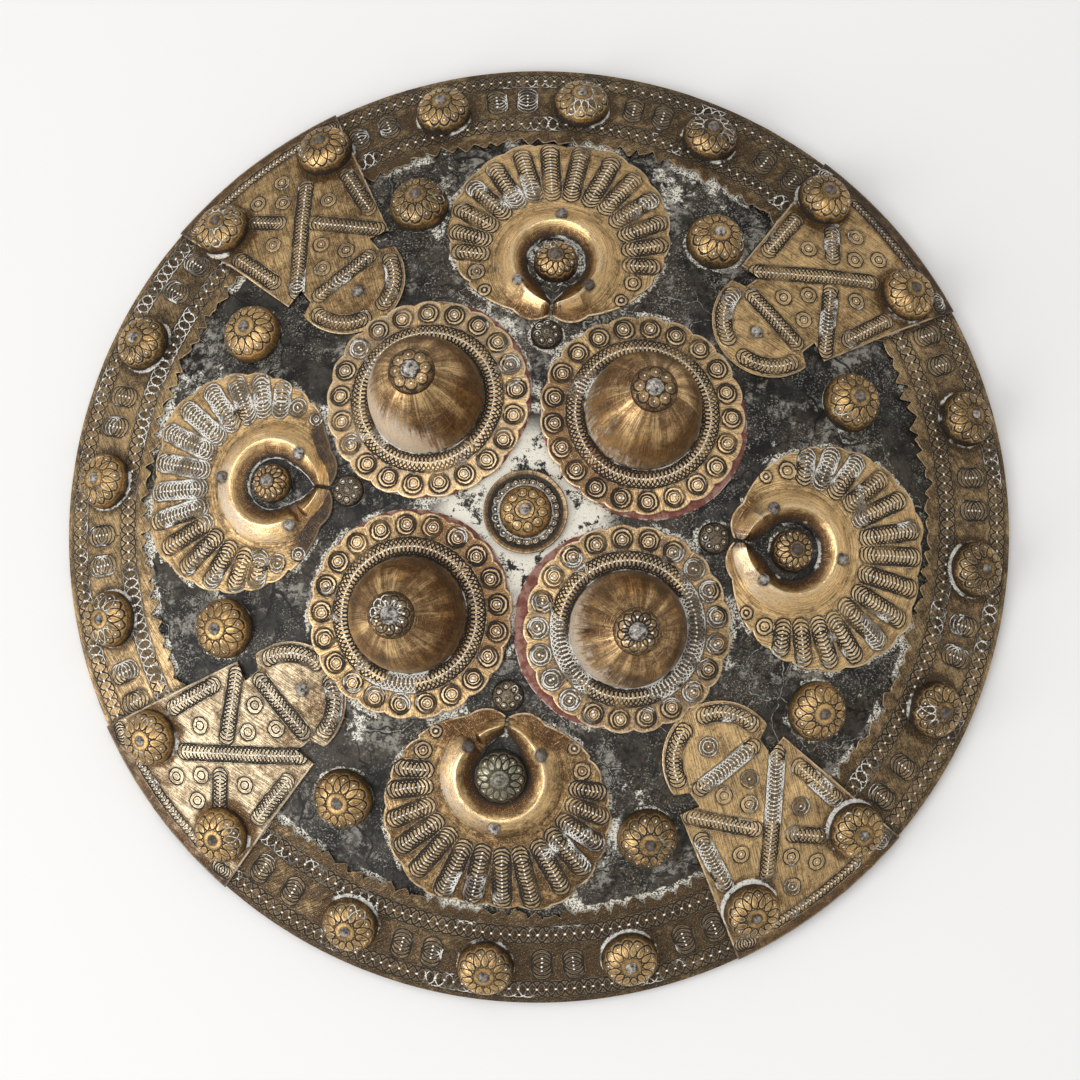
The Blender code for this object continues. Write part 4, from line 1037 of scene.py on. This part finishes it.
for number, (place, (bearing, offset)) in enumerate(CRESCENTS.items()):
    dice = np.random.default_rng(70 + number)
    matrix = seat(bearing, CRESCENT_RING + offset)
    fan, across, along = add_grid("fan_" + place, 350, 60)
    angle = math.radians(178.2) * (2 * across - 1)
    outward = np.cos(angle)
    degrees = np.degrees(np.abs(angle))
    edge = fan_edge(matrix, angle)
    lobe = np.abs(np.sin(np.radians(np.degrees(angle) / FAN_STEP * 180))) ** 0.6
    edge = edge - 0.0017 * (1 - lobe) * (degrees < 108)
    edge = edge + 0.0030 * limited(1 - (np.abs(degrees - 162) / 16) ** 2)
    narrow = place in LONG_HORN
    beak_start = 122 if narrow else 146
    beak = limited((degrees - beak_start) / (180 - beak_start)) ** 1.7
    hole_radius = HOLE_RADIUS if narrow else FULL_HOLE_RADIUS
    hole = hole_radius + beak * (TIP_HOLE_RADIUS - hole_radius)
    horn = limited((degrees - 118) / 26) * narrow
    crest = CREST_RADIUS + limited((degrees - 132) / 46) * (TIP_CREST_RADIUS - CREST_RADIUS)
    foot = np.minimum(FOOT_RADIUS + horn * (crest + HORN_WIDTH - FOOT_RADIUS), edge - 0.0008)
    short = narrow * (np.sign(angle) != LONG_HORN.get(place, 0))
    break_in_horn = np.exp(-((degrees - 138) / 7.0) ** 4) * short
    radius = hole + (edge - hole) * along
    x, y = round_middle(radius, angle)
    rise = limited((radius - hole) / (crest - hole))
    fall = limited((foot - radius) / (foot - crest))
    closing = limited((180 - degrees) / 7.0) ** 0.5 * (1 - 0.9 * break_in_horn) * (1 - 0.35 * horn)
    crescent = CREST_HEIGHT * closing * np.where(radius < crest, rise ** 1.1, fall ** 0.9)
    figures = []
    for step in range(FAN_BARS):
        bar = (step - (FAN_BARS - 1) / 2) * FAN_STEP + dice.normal(0, 0.5)
        facing = math.cos(math.radians(bar))
        reach = 1000 * float(fan_edge(matrix, np.array([math.radians(bar)]))[0]) - 5.0
        start = max(38.6 - 3.2 * (1 - facing), 33.5) + dice.normal(0, 0.4)
        end = min(max(reach, start), 44.5 + 18.0 * max(facing, 0.0))
        if abs(bar) > 95:
            start = end = 37.5
        direction = toward(math.radians(bar))
        inner = 0.55 if start == end else 0.0
        figures.append(ring_bar(start * direction, end * direction, 4.2 + 0.25 * facing, 1.9, inner))
    for side in (-1, 1):
        centre = 36.2 * toward(math.radians(side * 117.5))
        figures.append(ring_bar(centre, centre, 3.1, inner=0.42))
    height = punch(fan, figures, x * MM, y * MM, 0.45)
    # A bright line along the crest: polish, and a painted highlight.
    polished_crest_highlight = 0.15 + 0.75 * np.abs(radius - crest - 0.0005) * MM + 9.0 * (crescent < 0.003)
    add_measure(fan, "rim", np.clip(np.minimum((edge - radius) * MM, polished_crest_highlight), 0.0, 9.0))
    add_measure(fan, "grain", np.column_stack((radius * MM, angle * 30.0, 0 * angle)))
    buckle = 0.0003 * clean_noise(x, y, 0.03, 80 + number) * limited((radius - foot) / 0.01)
    add_measure(fan, "crevice", WELL_CHALK[place] * np.abs(radius - hole) * MM)
    # Pale on the window side of the crescent's outer slope: a painted highlight.
    window_side = np.cos(angle + math.radians(bearing - 200)) * (radius > crest) * (crescent > 0.0008)
    add_measure(fan, "painted_window_sheen", FAN_WINDOW_SHEEN[place] * limited(window_side))
    lift = SHEET_LIFT + SHEET + crescent + height * (crescent < 0.0004) + buckle
    up_the_well = (radius - hole) / (crest - hole)
    polished = limited(crescent / CREST_HEIGHT * 1.5)
    add_measure(fan, "shine", 0.8 * polished * limited(up_the_well * 1.1) ** 2)
    soot_and_painted_shade = limited(1.05 - 1.9 * up_the_well) * (up_the_well < 1.0)
    soot_and_painted_shade = np.maximum(soot_and_painted_shade, 0.48 * np.exp(-((radius - foot) / 0.0007) ** 2) * (degrees < 125))
    for distance, bar in CRESCENT_RIVETS[place]:
        rivet_x, rivet_y = distance * toward(math.radians(bar))
        from_rivet = np.hypot(x * MM - rivet_x, y * MM - rivet_y)
        soot_and_painted_shade = np.maximum(soot_and_painted_shade, 0.75 * np.exp(-(from_rivet / 4.2) ** 4))
    flat_horn = narrow * limited((degrees - 108) / 16) * limited((radius - foot) / 0.0010 + 0.5)
    add_measure(fan, "well", np.maximum(soot_and_painted_shade, FLAT_HORN_SOOT.get(place, 0.0) * flat_horn))
    slope = (up_the_well < 1.0) * np.clip(1.70 - 1.75 * up_the_well, 0.0, 0.95)
    beside_crest = 1 - np.exp(-((radius - crest - 0.0012) / 0.0030) ** 2) * (degrees > 146) * (degrees < 170)
    slope = np.maximum(slope, 0.80 * (1 - narrow) * limited((degrees - 122) / 22) * beside_crest)
    slope = np.maximum(slope, 0.8 * break_in_horn * (radius < foot))
    add_measure(fan, "tarnish_and_painted_shade", np.maximum(0.85 * flat_horn, slope))
    drop = tuple(-0.0010 * matrix.to_3x3().col[2])
    beat(fan, matrix, x, y, dome_z(x, y, lift), drop, "brass", "crescent_plaque_" + place)
    aged, chalky = FAN_WEAR[place]
    shades = (0.90, 0.61, 0.29), (0.140, 0.078, 0.035)
    fan.data.materials.append(brass("fan brass " + place, *shades, aged, 0.47, chalky, 1.0))

# The bosses: each is one disc of brass raised into a tall smooth cone, with a guilloche of overlapping rings
# round its foot and a scalloped flange with a ring-and-bead punch on every lobe.
CONE_FOOT_RADIUS = 0.0268
CONE_HEIGHT = 0.0385
CONE_APEX = 0.0408
BOSS_LIFT = 0.0021
SCALLOPS = 21
DARK_SIDES = {"top_right": 205.0, "bottom_left": 25.0}
BOSS_WINDOW_SHEEN = {"top_right": 0.7, "top_left": 2.0, "bottom_left": 0.45, "bottom_right": 1.2}
SCALLOP_DEPTH = 0.0019
CONE_FULLNESS = 2 / 2.1
GUILLOCHE_RADIUS = 0.0315
LOBE_PUNCH_RING = 41.4
FLANGE_SHARE = 0.60
BOSS_WEAR = {
    "top_right": (0.37, 0.22), "top_left": (0.42, 0.20),
    "bottom_left": (0.42, 0.0), "bottom_right": (0.54, 0.44),
}

for number, (place, bearing) in enumerate(BOSSES.items()):
    dice = np.random.default_rng(90 + number)
    matrix = seat(bearing, BOSS_RING)
    boss, across, along = add_grid("raised_boss_" + place, 336, 54)
    angle = 2 * math.pi * across
    edge = FLANGE_RADIUS - SCALLOP_DEPTH + SCALLOP_DEPTH * np.abs(np.sin(angle * SCALLOPS / 2)) ** 0.7
    edge += 0.0004 * clean_noise(np.cos(angle) * 0.05, np.sin(angle) * 0.05, 0.04, 95 + number)
    edge = np.minimum(edge, FLANGE_RADIUS)
    flange = limited(along / FLANGE_SHARE)
    cone = limited((along - FLANGE_SHARE) / (1 - FLANGE_SHARE))
    radius = edge + (CONE_FOOT_RADIUS - edge) * flange
    swing = cone * 0.985 * math.pi / 2
    round_radius = CONE_FOOT_RADIUS * np.cos(swing) ** CONE_FULLNESS
    round_height = CONE_APEX * np.sin(swing) ** CONE_FULLNESS
    radius = np.where(cone > 0, np.maximum(round_radius, 0.0030), radius)
    ring = 0.0009 * limited(1 - ((radius - GUILLOCHE_RADIUS) / 0.0048) ** 2) * (cone <= 0)
    x, y = round_middle(radius, angle)
    figures = [ring_round(GUILLOCHE_RADIUS * MM, 4.25, 2.05, LINKED)]
    for lobe in range(SCALLOPS):
        centre = (LOBE_PUNCH_RING + dice.normal(0, 0.25)) * toward((lobe + 0.5) * 2 * math.pi / SCALLOPS)
        askew = 0.1 * toward(7.0 * lobe)
        figures.append(ring_bar(centre - askew, centre + askew, 4.75, 9.0, 0.70))
    height = punch(boss, figures, x * MM, y * MM, 0.10)
    add_measure(boss, "shine", 0.20 * (cone > 0))
    window_side = np.cos(angle + math.radians(bearing - 205)) * (cone > 0)
    foot_share = limited(1 - cone / 0.62)
    # Pale near the cone's foot on the window side: a painted highlight.
    add_measure(boss, "painted_window_sheen", limited(window_side + 0.15) * foot_share * BOSS_WINDOW_SHEEN[place])
    dark_side = np.cos(angle + math.radians(bearing - DARK_SIDES.get(place, 0.0))) * (place in DARK_SIDES)
    arc = np.hypot(CONE_FOOT_RADIUS - radius, round_height) * MM
    streaks = clean_noise(np.cos(angle) * 0.02, np.sin(angle) * 0.02, 0.009, 98 + number)
    streaks = 0.40 * streaks * limited((arc - 12) / 14)
    # On the cone: tarnish streaked down from the cap, and painted shade that thins near the foot on the
    # window side.
    cone_tarnish_and_shade = 0.60 - 0.42 * window_side * foot_share + streaks
    add_measure(boss, "tarnish_and_painted_shade", np.where(cone > 0.04, cone_tarnish_and_shade, 1.15 * limited(dark_side)))
    add_measure(boss, "rim", np.clip((edge - radius) * MM, 0.0, 9.0))
    across_grain = np.where(cone > 0, angle * 8.0, angle * 30.0)
    along_grain = np.where(cone > 0, arc * 0.9, radius * MM)
    add_measure(boss, "grain", np.column_stack((across_grain, along_grain, 0 * angle)))
    lift = BOSS_LIFT + SHEET + np.where(cone > 0, round_height, ring + height)
    add_measure(boss, "crevice", np.where(cone > 0, arc, np.abs(radius - CONE_FOOT_RADIUS) * MM))
    drop = tuple(-0.0010 * matrix.to_3x3().col[2])
    beat(boss, matrix, x, y, dome_z(x, y, lift), drop, "brass", "boss_" + place)
    aged, chalky = BOSS_WEAR[place]
    boss_brass = brass("boss brass " + place, (0.86, 0.58, 0.28), (0.14, 0.078, 0.036), aged, 0.40, chalky)
    boss.data.materials.append(boss_brass)

# The washers: a ring of red cloth, stiff with lacquer, laid under each boss so that the brass doesn't rub the
# hide. It is held by the boss's own rivet, and shows as a narrow cracked edge on one side.
CLOTH_THICKNESS = 0.0010
WASHER_SIDE = {
    "top_right": (-50.0, 0.0024), "top_left": (40.0, 0.0010),
    "bottom_left": (75.0, 0.0008), "bottom_right": (185.0, 0.0040),
}


def red_cloth():
    """Brick red lacquered cloth, worn pink and white along its edge."""
    material, place = new_material("red lacquered cloth")
    mottle = noise(place, 160.0, 6.0, 0.7)
    grain = noise(place, 900.0, 4.0, 0.7)
    edge = smooth_step(attribute(place.tree, "rim"), 0.6, 0.0)
    colour = blend(smooth_step(mottle, 0.35, 0.68), (0.15, 0.040, 0.028, 1), (0.29, 0.115, 0.078, 1))
    colour = blend(smooth_step(grain, 0.52, 0.68, 0.0, 0.7), colour, (0.05, 0.022, 0.018, 1))
    chalk = smooth_step(mottle, 0.49, 0.54) * (edge * 0.75 + 0.12)
    colour = blend(chalk, colour, (0.66, 0.58, 0.52, 1))
    finish(material, colour, 0.75, 0.0, grain + mottle, 0.0004)
    return material


RED_CLOTH = red_cloth()
for number, (place, bearing) in enumerate(BOSSES.items()):
    washer, across, along = add_grid("washer_" + place, 200, 10)
    angle = 2 * math.pi * across
    facing, width = WASHER_SIDE[place]
    shown = np.cos(angle + math.radians(bearing - facing))
    ragged = clean_noise(np.cos(angle) * 0.05, np.sin(angle) * 0.05, 0.02, 100 + number)
    edge = FLANGE_RADIUS - 0.0012 + (width + 0.0012) * limited(-0.35 + 1.45 * shown) + 0.0003 * ragged
    radius = edge + (0.040 - edge) * along
    x, y = round_middle(radius, angle)
    matrix = seat(bearing, BOSS_RING)
    lift = SHEET_LIFT + CLOTH_THICKNESS - 0.0004 * limited(1 - along * 9)
    add_measure(washer, "rim", (edge - radius) * MM)
    drop = tuple(-0.0012 * matrix.to_3x3().col[2])
    beat(washer, matrix, x, y, dome_z(x, y, lift), drop, "cloth", "boss_cloth_" + place)
    washer.data.materials.append(RED_CLOTH)

# The caps: a small domed disc of brass on the flat top of each cone, struck with a flower of ring punches
# and held by the head of the long iron rivet that fixes the boss and the grip behind it.
CAP_RADIUS = 0.0108
CAP_HEIGHT = 0.0052
CAP_LIFT = BOSS_LIFT + SHEET + CONE_HEIGHT - 0.0004
DOME_STEPS = 24


def domed(radius, height, fullness, foot):
    """The radii and heights of a domed piece, from its foot to its top."""
    rounds = [math.pi / 2 * step / DOME_STEPS for step in range(DOME_STEPS + 1)]
    dome = [(radius * math.cos(turn) ** fullness, foot + (height - foot) * math.sin(turn)) for turn in rounds]
    return [(radius, 0.0)] + dome[:-1] + [(0.0, height)]


def add_round(name, profile, columns, rows, figures, soot_and_painted_shade, hollow=None):
    """A round piece beaten to a profile, with its figures struck in, standing at the middle of the world."""
    piece, across, along = add_grid(name, columns, rows)
    angle = 2 * math.pi * across
    steps = np.linspace(0, 1, len(profile))
    radius = np.interp(along, steps, [corner[0] for corner in profile])
    height = np.interp(along, steps, [corner[1] for corner in profile])
    x, y = round_middle(radius, angle)
    struck = punch(piece, figures, x * MM, y * MM, 0.0)
    add_measure(piece, "rim", 3.0 + 0 * radius)
    add_measure(piece, "crevice", height * MM if hollow is None else np.abs(radius - hollow) * MM)
    add_measure(piece, "grain", np.column_stack((angle * 9.0, radius * MM, 0 * angle)))
    add_measure(piece, "shine", 0.4 + 0 * radius)
    # Dark in a ring of the given radius and width, as soot round the rivet or in the dish's crease, and dark
    # towards the foot below the given height: painted shade.
    dark = 0.95 * np.exp(-((radius - soot_and_painted_shade[0]) / soot_and_painted_shade[1]) ** 4)
    dark = np.maximum(dark, 1.0 - height / soot_and_painted_shade[2] if soot_and_painted_shade[2] else 0.0)
    add_measure(piece, "well", limited(dark))
    move_corners(piece, Matrix.Identity(4), x, y, height + struck * (height > 0.0002))
    close_seams(piece)
    bpy.ops.object.shade_smooth()
    return piece


def ring_of_rings(count, distance, radius):
    """A circle of single ring punches."""
    figures = []
    for number in range(count):
        centre = distance * toward(2 * math.pi * number / count)
        figures.append(ring_bar(centre, centre, radius))
    return figures


def set_copy(name, model, matrix, turn, slot, *nodes):
    """A copy of a finished round piece, with its own mesh, turned about its axis and set in its place."""
    copy = model.copy()
    copy.data = model.data.copy()
    copy.name = copy.data.name = name
    bpy.context.scene.collection.objects.link(copy)
    copy.data.transform(matrix @ Matrix.Rotation(turn, 4, "Z"))
    ride_and_replace(copy, slot, *nodes)


CAP_BRASS = brass("cap brass", (0.78, 0.52, 0.25), (0.12, 0.066, 0.03), 0.84, 0.46, 0.06, 0.3)
caps = []
cap_profile = domed(CAP_RADIUS, CAP_HEIGHT, 0.8, foot=0.0012)
for figures in (ring_of_rings(8, 6.9, 2.75), [ring_round(6.5, 2.7, 3.7, LINKED)]):
    cap = add_round("cap_model", cap_profile, 96, 30, figures, (0.0, 0.0050, 0.0018))
    cap.data.materials.append(CAP_BRASS)
    caps.append(cap)
for number, (place, bearing) in enumerate(BOSSES.items()):
    matrix = seat(bearing, BOSS_RING, CAP_LIFT)
    set_copy("ringed_cap_" + place, caps[number // 2], matrix, 1.7 * number, "brass", "boss_cap_" + place)
for cap in caps:
    bpy.data.objects.remove(cap)

# The studs: small domes of brass, each struck with overlapping rings like petals round an iron rivet that
# holds the bands, the plaques and the hide together. Pale polish has dried round the foot of each.
BAND_STUD = (0.0133, 0.0105)
FIELD_STUD = (0.0140, 0.0125)
CRESCENT_STUD_HEIGHT = 0.0098
CRESCENT_STUD_RADII = {"top": 0.0104, "left": 0.0092, "bottom": 0.0124, "right": 0.0100}
ON_THE_HIDE = 0.0003
RIVET_SINK = 0.0006
BAND_TOP = SHEET_LIFT + SHEET + ON_THE_HIDE
PLAQUE_TOP = SHEET_LIFT + OVER_BAND + SHEET
STUD_BRASS = brass("stud brass", (0.84, 0.53, 0.21), (0.070, 0.042, 0.022), 0.62, 0.33, 0.12, 0.45)
GREEN_BRASS = brass("green stud brass", (0.42, 0.40, 0.28), (0.080, 0.088, 0.066), 0.60, 0.44, 0.30, 0.25)


def petals(radius):
    """A chain of overlapping rings round a stud."""
    reach = radius * MM
    return [ring_round(0.64 * reach, 0.27 * reach, 0.31 * reach, LINKED_LIKE_PETALS)]


models = {}
STUD_SIZES = {"band": BAND_STUD, "field": FIELD_STUD}
for place, radius in CRESCENT_STUD_RADII.items():
    STUD_SIZES[place] = (radius, CRESCENT_STUD_HEIGHT)
for kind, (radius, height) in STUD_SIZES.items():
    profile = domed(radius, height, 0.72, foot=0.0010)
    models[kind] = add_round("stud_model_" + kind, profile, 72, 24, petals(radius), (0.0, 0.0034, 0.0050))
    models[kind].data.materials.append(GREEN_BRASS if kind == "bottom" else STUD_BRASS)
rivet_places = []
dice = np.random.default_rng(7)


def set_stud(name, kind, matrix, *nodes):
    """One stud in its place, with its rivet marked for later."""
    set_copy(name, models[kind], matrix, dice.uniform(0, 6.28), "brass", *nodes)
    top = matrix @ Matrix.Translation((0.0, 0.0, STUD_SIZES[kind][1] - RIVET_SINK))
    rivet_places.append((top, dice.uniform(0.0023, 0.0031)))


for place, studs in BAND_STUDS.items():
    for number, (bearing, inset) in enumerate(studs, 1):
        matrix = seat(bearing, STUD_RING - inset, BAND_TOP, (0.0, 0.0))
        set_stud("petal_stud_%s_%d" % (place, number), "band", matrix, "band_stud_%s_%d" % (place, number))
for number, bearing in enumerate(PLAQUE_STUDS):
    plaque_name = "corner_plaque_" + list(PLAQUES)[number // 2]
    matrix = seat(bearing, STUD_RING, PLAQUE_TOP, (0.0, 0.0))
    set_stud("plaque_stud_%d" % (number + 1), "band", matrix, plaque_name)
for number, (bearing, offset) in enumerate(FIELD_STUDS, 1):
    matrix = seat(bearing, FIELD_RING + offset, ON_THE_HIDE)
    set_stud("hide_stud_%d" % number, "field", matrix, "field_stud_%d" % number)
for place, (bearing, offset) in CRESCENTS.items():
    matrix = seat(bearing, CRESCENT_RING + offset, ON_THE_HIDE)
    set_stud("well_stud_" + place, place, matrix, "crescent_stud_" + place)
for model in models.values():
    bpy.data.objects.remove(model)

# The rosettes: four low dark brass studs in the gaps between the bosses, at the tips of the crescents. Each
# is struck with a ring of beads and riveted to the hide.
ROSETTE_RADIUS = 0.0075
ROSETTE_HEIGHT = 0.0045
profile = domed(ROSETTE_RADIUS, ROSETTE_HEIGHT, 0.8, foot=0.0008)
rosette = add_round("rosette_model", profile, 60, 20, ring_of_rings(7, 4.6, 1.5), (0.0, 0.0018, 0.0015))
dark_brass = brass("dark rosette brass", (0.30, 0.22, 0.13), (0.045, 0.035, 0.027), 0.75, 0.36, 0.40)
rosette.data.materials.append(dark_brass)
for number, (place, (bearing, offset)) in enumerate(CRESCENTS.items()):
    matrix = seat(bearing, CRESCENT_RING + offset - ROSETTE_GAP, ON_THE_HIDE)
    set_copy("beaded_rosette_" + place, rosette, matrix, 0.8 * number, "dark_brass", "rosette_" + place)
    rivet_places.append((matrix @ Matrix.Translation((0.0, 0.0, ROSETTE_HEIGHT - RIVET_SINK)), 0.0016))
bpy.data.objects.remove(rosette)

# The middle: a round brass plate with its rim turned up, struck with a ring of beads, and a stud like the
# others riveted on it.
DISH_RADIUS = 0.0194
DISH_WELL = 0.0160
dish_profile = [(DISH_RADIUS, 0.0012), (DISH_RADIUS, 0.0026)]
dish_profile += [(DISH_RADIUS - 0.0005, 0.0028), (DISH_RADIUS - 0.0011, 0.0026)]
for step in range(1, 7):
    dish_profile.append((DISH_RADIUS - 0.0011 - 0.0024 * step / 6, 0.0026 - 0.0012 * step / 6))
dish_profile += [(DISH_WELL * (1 - step / 16), 0.0012) for step in range(1, 17)]
beads = ring_of_rings(22, 13.9, 1.7)
dish = add_round("turned_dish", dish_profile, 120, 60, beads, (0.0164, 0.0012, 0.0), 0.0123)
dish.data.materials.append(brass("dish brass", (0.45, 0.31, 0.17), (0.09, 0.06, 0.04), 0.62, 0.42, 0.60))
dish.data.transform(seat(0.0, 0.0, ON_THE_HIDE))
ride_and_replace(dish, "brass", "centre_dish")
centre_figures = ring_of_rings(10, 8.1, 2.2) + ring_of_rings(1, 0.0, 4.4)
profile = domed(0.0121, 0.0090, 0.75, foot=0.0010)
stud = add_round("ringed_centre_stud", profile, 96, 36, centre_figures, (0.0, 0.0036, 0.0030))
stud.data.materials.append(STUD_BRASS)
matrix = seat(0.0, 0.0, 0.0017)
stud.data.transform(matrix)
ride_and_replace(stud, "brass", "centre_stud")
rivet_places.append((matrix @ Matrix.Translation((0.0, 0.0, 0.0084)), 0.0028))

# The rivets: iron heads, hammered over and grey, one on every stud and boss, three on each crescent and one
# on the tail of each corner plaque but the bottom right one.
for place, bearing in BOSSES.items():
    rivet_places.append((seat(bearing, BOSS_RING, CAP_LIFT + CAP_HEIGHT - 0.0010), 0.0043))
    inner_end = seat(bearing, BOSS_RING, -HIDE_THICKNESS - 0.0048) @ Matrix.Rotation(math.pi, 4, "X")
    rivet_places.append((inner_end, 0.0042))
for place, rivets in CRESCENT_RIVETS.items():
    bearing, offset = CRESCENTS[place]
    matrix = seat(bearing, CRESCENT_RING + offset)
    for distance, angle in rivets:
        x, y = distance / MM * toward(math.radians(angle))
        z = float(dome_z(x, y, SHEET_LIFT + SHEET + 0.0046))
        rivet_places.append((matrix @ Matrix.Translation((x, y, z)), 0.0029))
for place, bearing in PLAQUES.items():
    if place != "bottom_right":
        rivet_places.append((seat(bearing, PLAQUE_RIVET, SHEET_LIFT + SHEET - 0.0004, (0.0, 0.0)), 0.0030))

tones = np.random.default_rng(824).uniform(0.0, 0.9, len(rivet_places))
bpy.ops.object.select_all(action="DESELECT")
rivets = []
for number, (matrix, radius) in enumerate(rivet_places):
    bpy.ops.mesh.primitive_ico_sphere_add(subdivisions=3, radius=1.0)
    head = bpy.context.object
    places = np.empty(3 * len(head.data.vertices))
    head.data.vertices.foreach_get("co", places)
    x, y, z = places.reshape(-1, 3).T
    lump = 1 + 0.14 * clean_noise(x + 3.1 * number, y + z, 1.3, 200 + number) * np.abs(z) ** 0.5
    flat = np.maximum(z, -0.2) * radius * 0.72 * lump
    move_corners(head, matrix, x * radius * lump, y * radius * lump, flat)
    add_measure(head, "tone", np.full(len(x), tones[number] * (radius < 0.0032)))
    rivets.append(head)
bpy.ops.object.select_all(action="DESELECT")
for head in rivets:
    head.select_set(True)
bpy.context.view_layer.objects.active = rivets[0]
bpy.ops.object.join()
rivets = bpy.context.object
rivets.name = rivets.data.name = "iron_rivets"
bpy.ops.object.shade_smooth()
iron, place = new_material("grey hammered iron")
coarse = noise(place, 420.0, 5.0, 0.7)
fine = noise(place, 1500.0, 3.0, 0.7)
colour = blend(smooth_step(coarse, 0.35, 0.65), (0.040, 0.034, 0.028, 1), (0.74, 0.69, 0.62, 1))
colour = blend(smooth_step(fine, 0.55, 0.70, 0.0, 0.8), colour, (0.03, 0.022, 0.02, 1))
colour = blend(attribute(place.tree, "tone"), colour, (0.070, 0.048, 0.038, 1))
roughness = smooth_step(coarse, 0.3, 0.7, 0.65, 0.38)
finish(iron, colour, roughness, smooth_step(fine, 0.6, 0.4, 0.2, 0.8), coarse + fine, 0.0006)
rivets.data.materials.append(iron)
ride_and_replace(rivets, "")

# The grips: two straps of brown leather that arch across the hollow back. The long rivets of two bosses pass
# through the ends of each and hold it.
HIDE_BACK = DOME_RADIUS - HIDE_THICKNESS - 0.0012
GRIP_WIDTH = 0.022
GRIP_THICKNESS = 0.004
GRIP_DEPTH = 0.036
GRIP_PAD = 0.011


def brown_leather():
    """Old brown leather: darker and shinier where hands have held it, cracked along its length."""
    material, place = new_material("brown leather")
    clouds = noise(place, 60.0, 5.0, 0.6)
    pores = add_node(place.tree, "ShaderNodeTexVoronoi", place)
    pores.inputs["Scale"].default_value = 900.0
    lengthways = noise(mapped(place, Scale=(700.0, 60.0, 200.0)), 1.0, 4.0)
    colour = blend(smooth_step(clouds, 0.3, 0.7), (0.060, 0.028, 0.014, 1), (0.17, 0.085, 0.040, 1))
    colour = blend(smooth_step(lengthways, 0.60, 0.72, 0.0, 0.8), colour, (0.02, 0.012, 0.008, 1))
    height = Shade(pores.outputs["Distance"]) + lengthways
    finish(material, colour, smooth_step(clouds, 0.3, 0.7, 0.45, 0.75), 0.0, height, 0.0004)
    return material


LEATHER = brown_leather()
for name in ("left", "right"):
    ends = [seat(BOSSES[level + name], BOSS_RING).translation for level in ("top_", "bottom_")]
    centre = Vector((0.0, 0.0, -DOME_DROP))
    run = (ends[1] - ends[0]).normalized()
    start, end = ends[0] - GRIP_PAD * run, ends[1] + GRIP_PAD * run
    pad = 2 * GRIP_PAD / (end - start).length
    strap, across, along = add_grid("grip_%s_strap" % name, 28, 72)
    centres, sides, inwards = [], [], []
    for step in range(73):
        share = step / 72
        arch = min(max((share - pad) / (1 - 2 * pad), 0.0), 1.0)
        depth = GRIP_DEPTH * (1 - math.cos(2 * math.pi * arch)) / 2
        direction = (start.lerp(end, share) - centre).normalized()
        centres.append(centre + (HIDE_BACK - depth) * direction)
    for step in range(73):
        tangent = (centres[min(step + 1, 72)] - centres[max(step - 1, 0)]).normalized()
        side = tangent.cross(centres[step] - centre).normalized()
        sides.append(side)
        inwards.append(tangent.cross(side).normalized())
    step = np.round(along * 72).astype(int)
    turn = 2 * math.pi * across
    end_round = np.sqrt(np.clip(1 - limited(np.abs(along - 0.5) * 2 - 0.94) ** 2 / 0.06 ** 2, 0.02, 1))
    wide = np.sign(np.cos(turn)) * np.abs(np.cos(turn)) ** 0.5 * GRIP_WIDTH / 2 * end_round
    thick = np.sign(np.sin(turn)) * np.abs(np.sin(turn)) ** 0.6 * GRIP_THICKNESS / 2 + GRIP_THICKNESS / 2
    places = np.array(centres)[step] + np.array(sides)[step] * wide[:, None]
    places += np.array(inwards)[step] * thick[:, None]
    move_corners(strap, Matrix.Identity(4), *places.T)
    bpy.ops.object.mode_set(mode="EDIT")
    bpy.ops.mesh.select_all(action="SELECT")
    bpy.ops.mesh.remove_doubles(threshold=WELD)
    select_cut_edges()
    bpy.ops.mesh.edge_face_add()
    bpy.ops.mesh.select_all(action="SELECT")
    bpy.ops.mesh.normals_make_consistent(inside=False)
    bpy.ops.mesh.select_mode(type="VERT")
    bpy.ops.object.mode_set(mode="OBJECT")
    bpy.ops.object.shade_smooth_by_angle(angle=SHARP_ANGLE)
    strap.data.materials.append(LEATHER)
    ride_and_replace(strap, "grip", "grip_" + name)
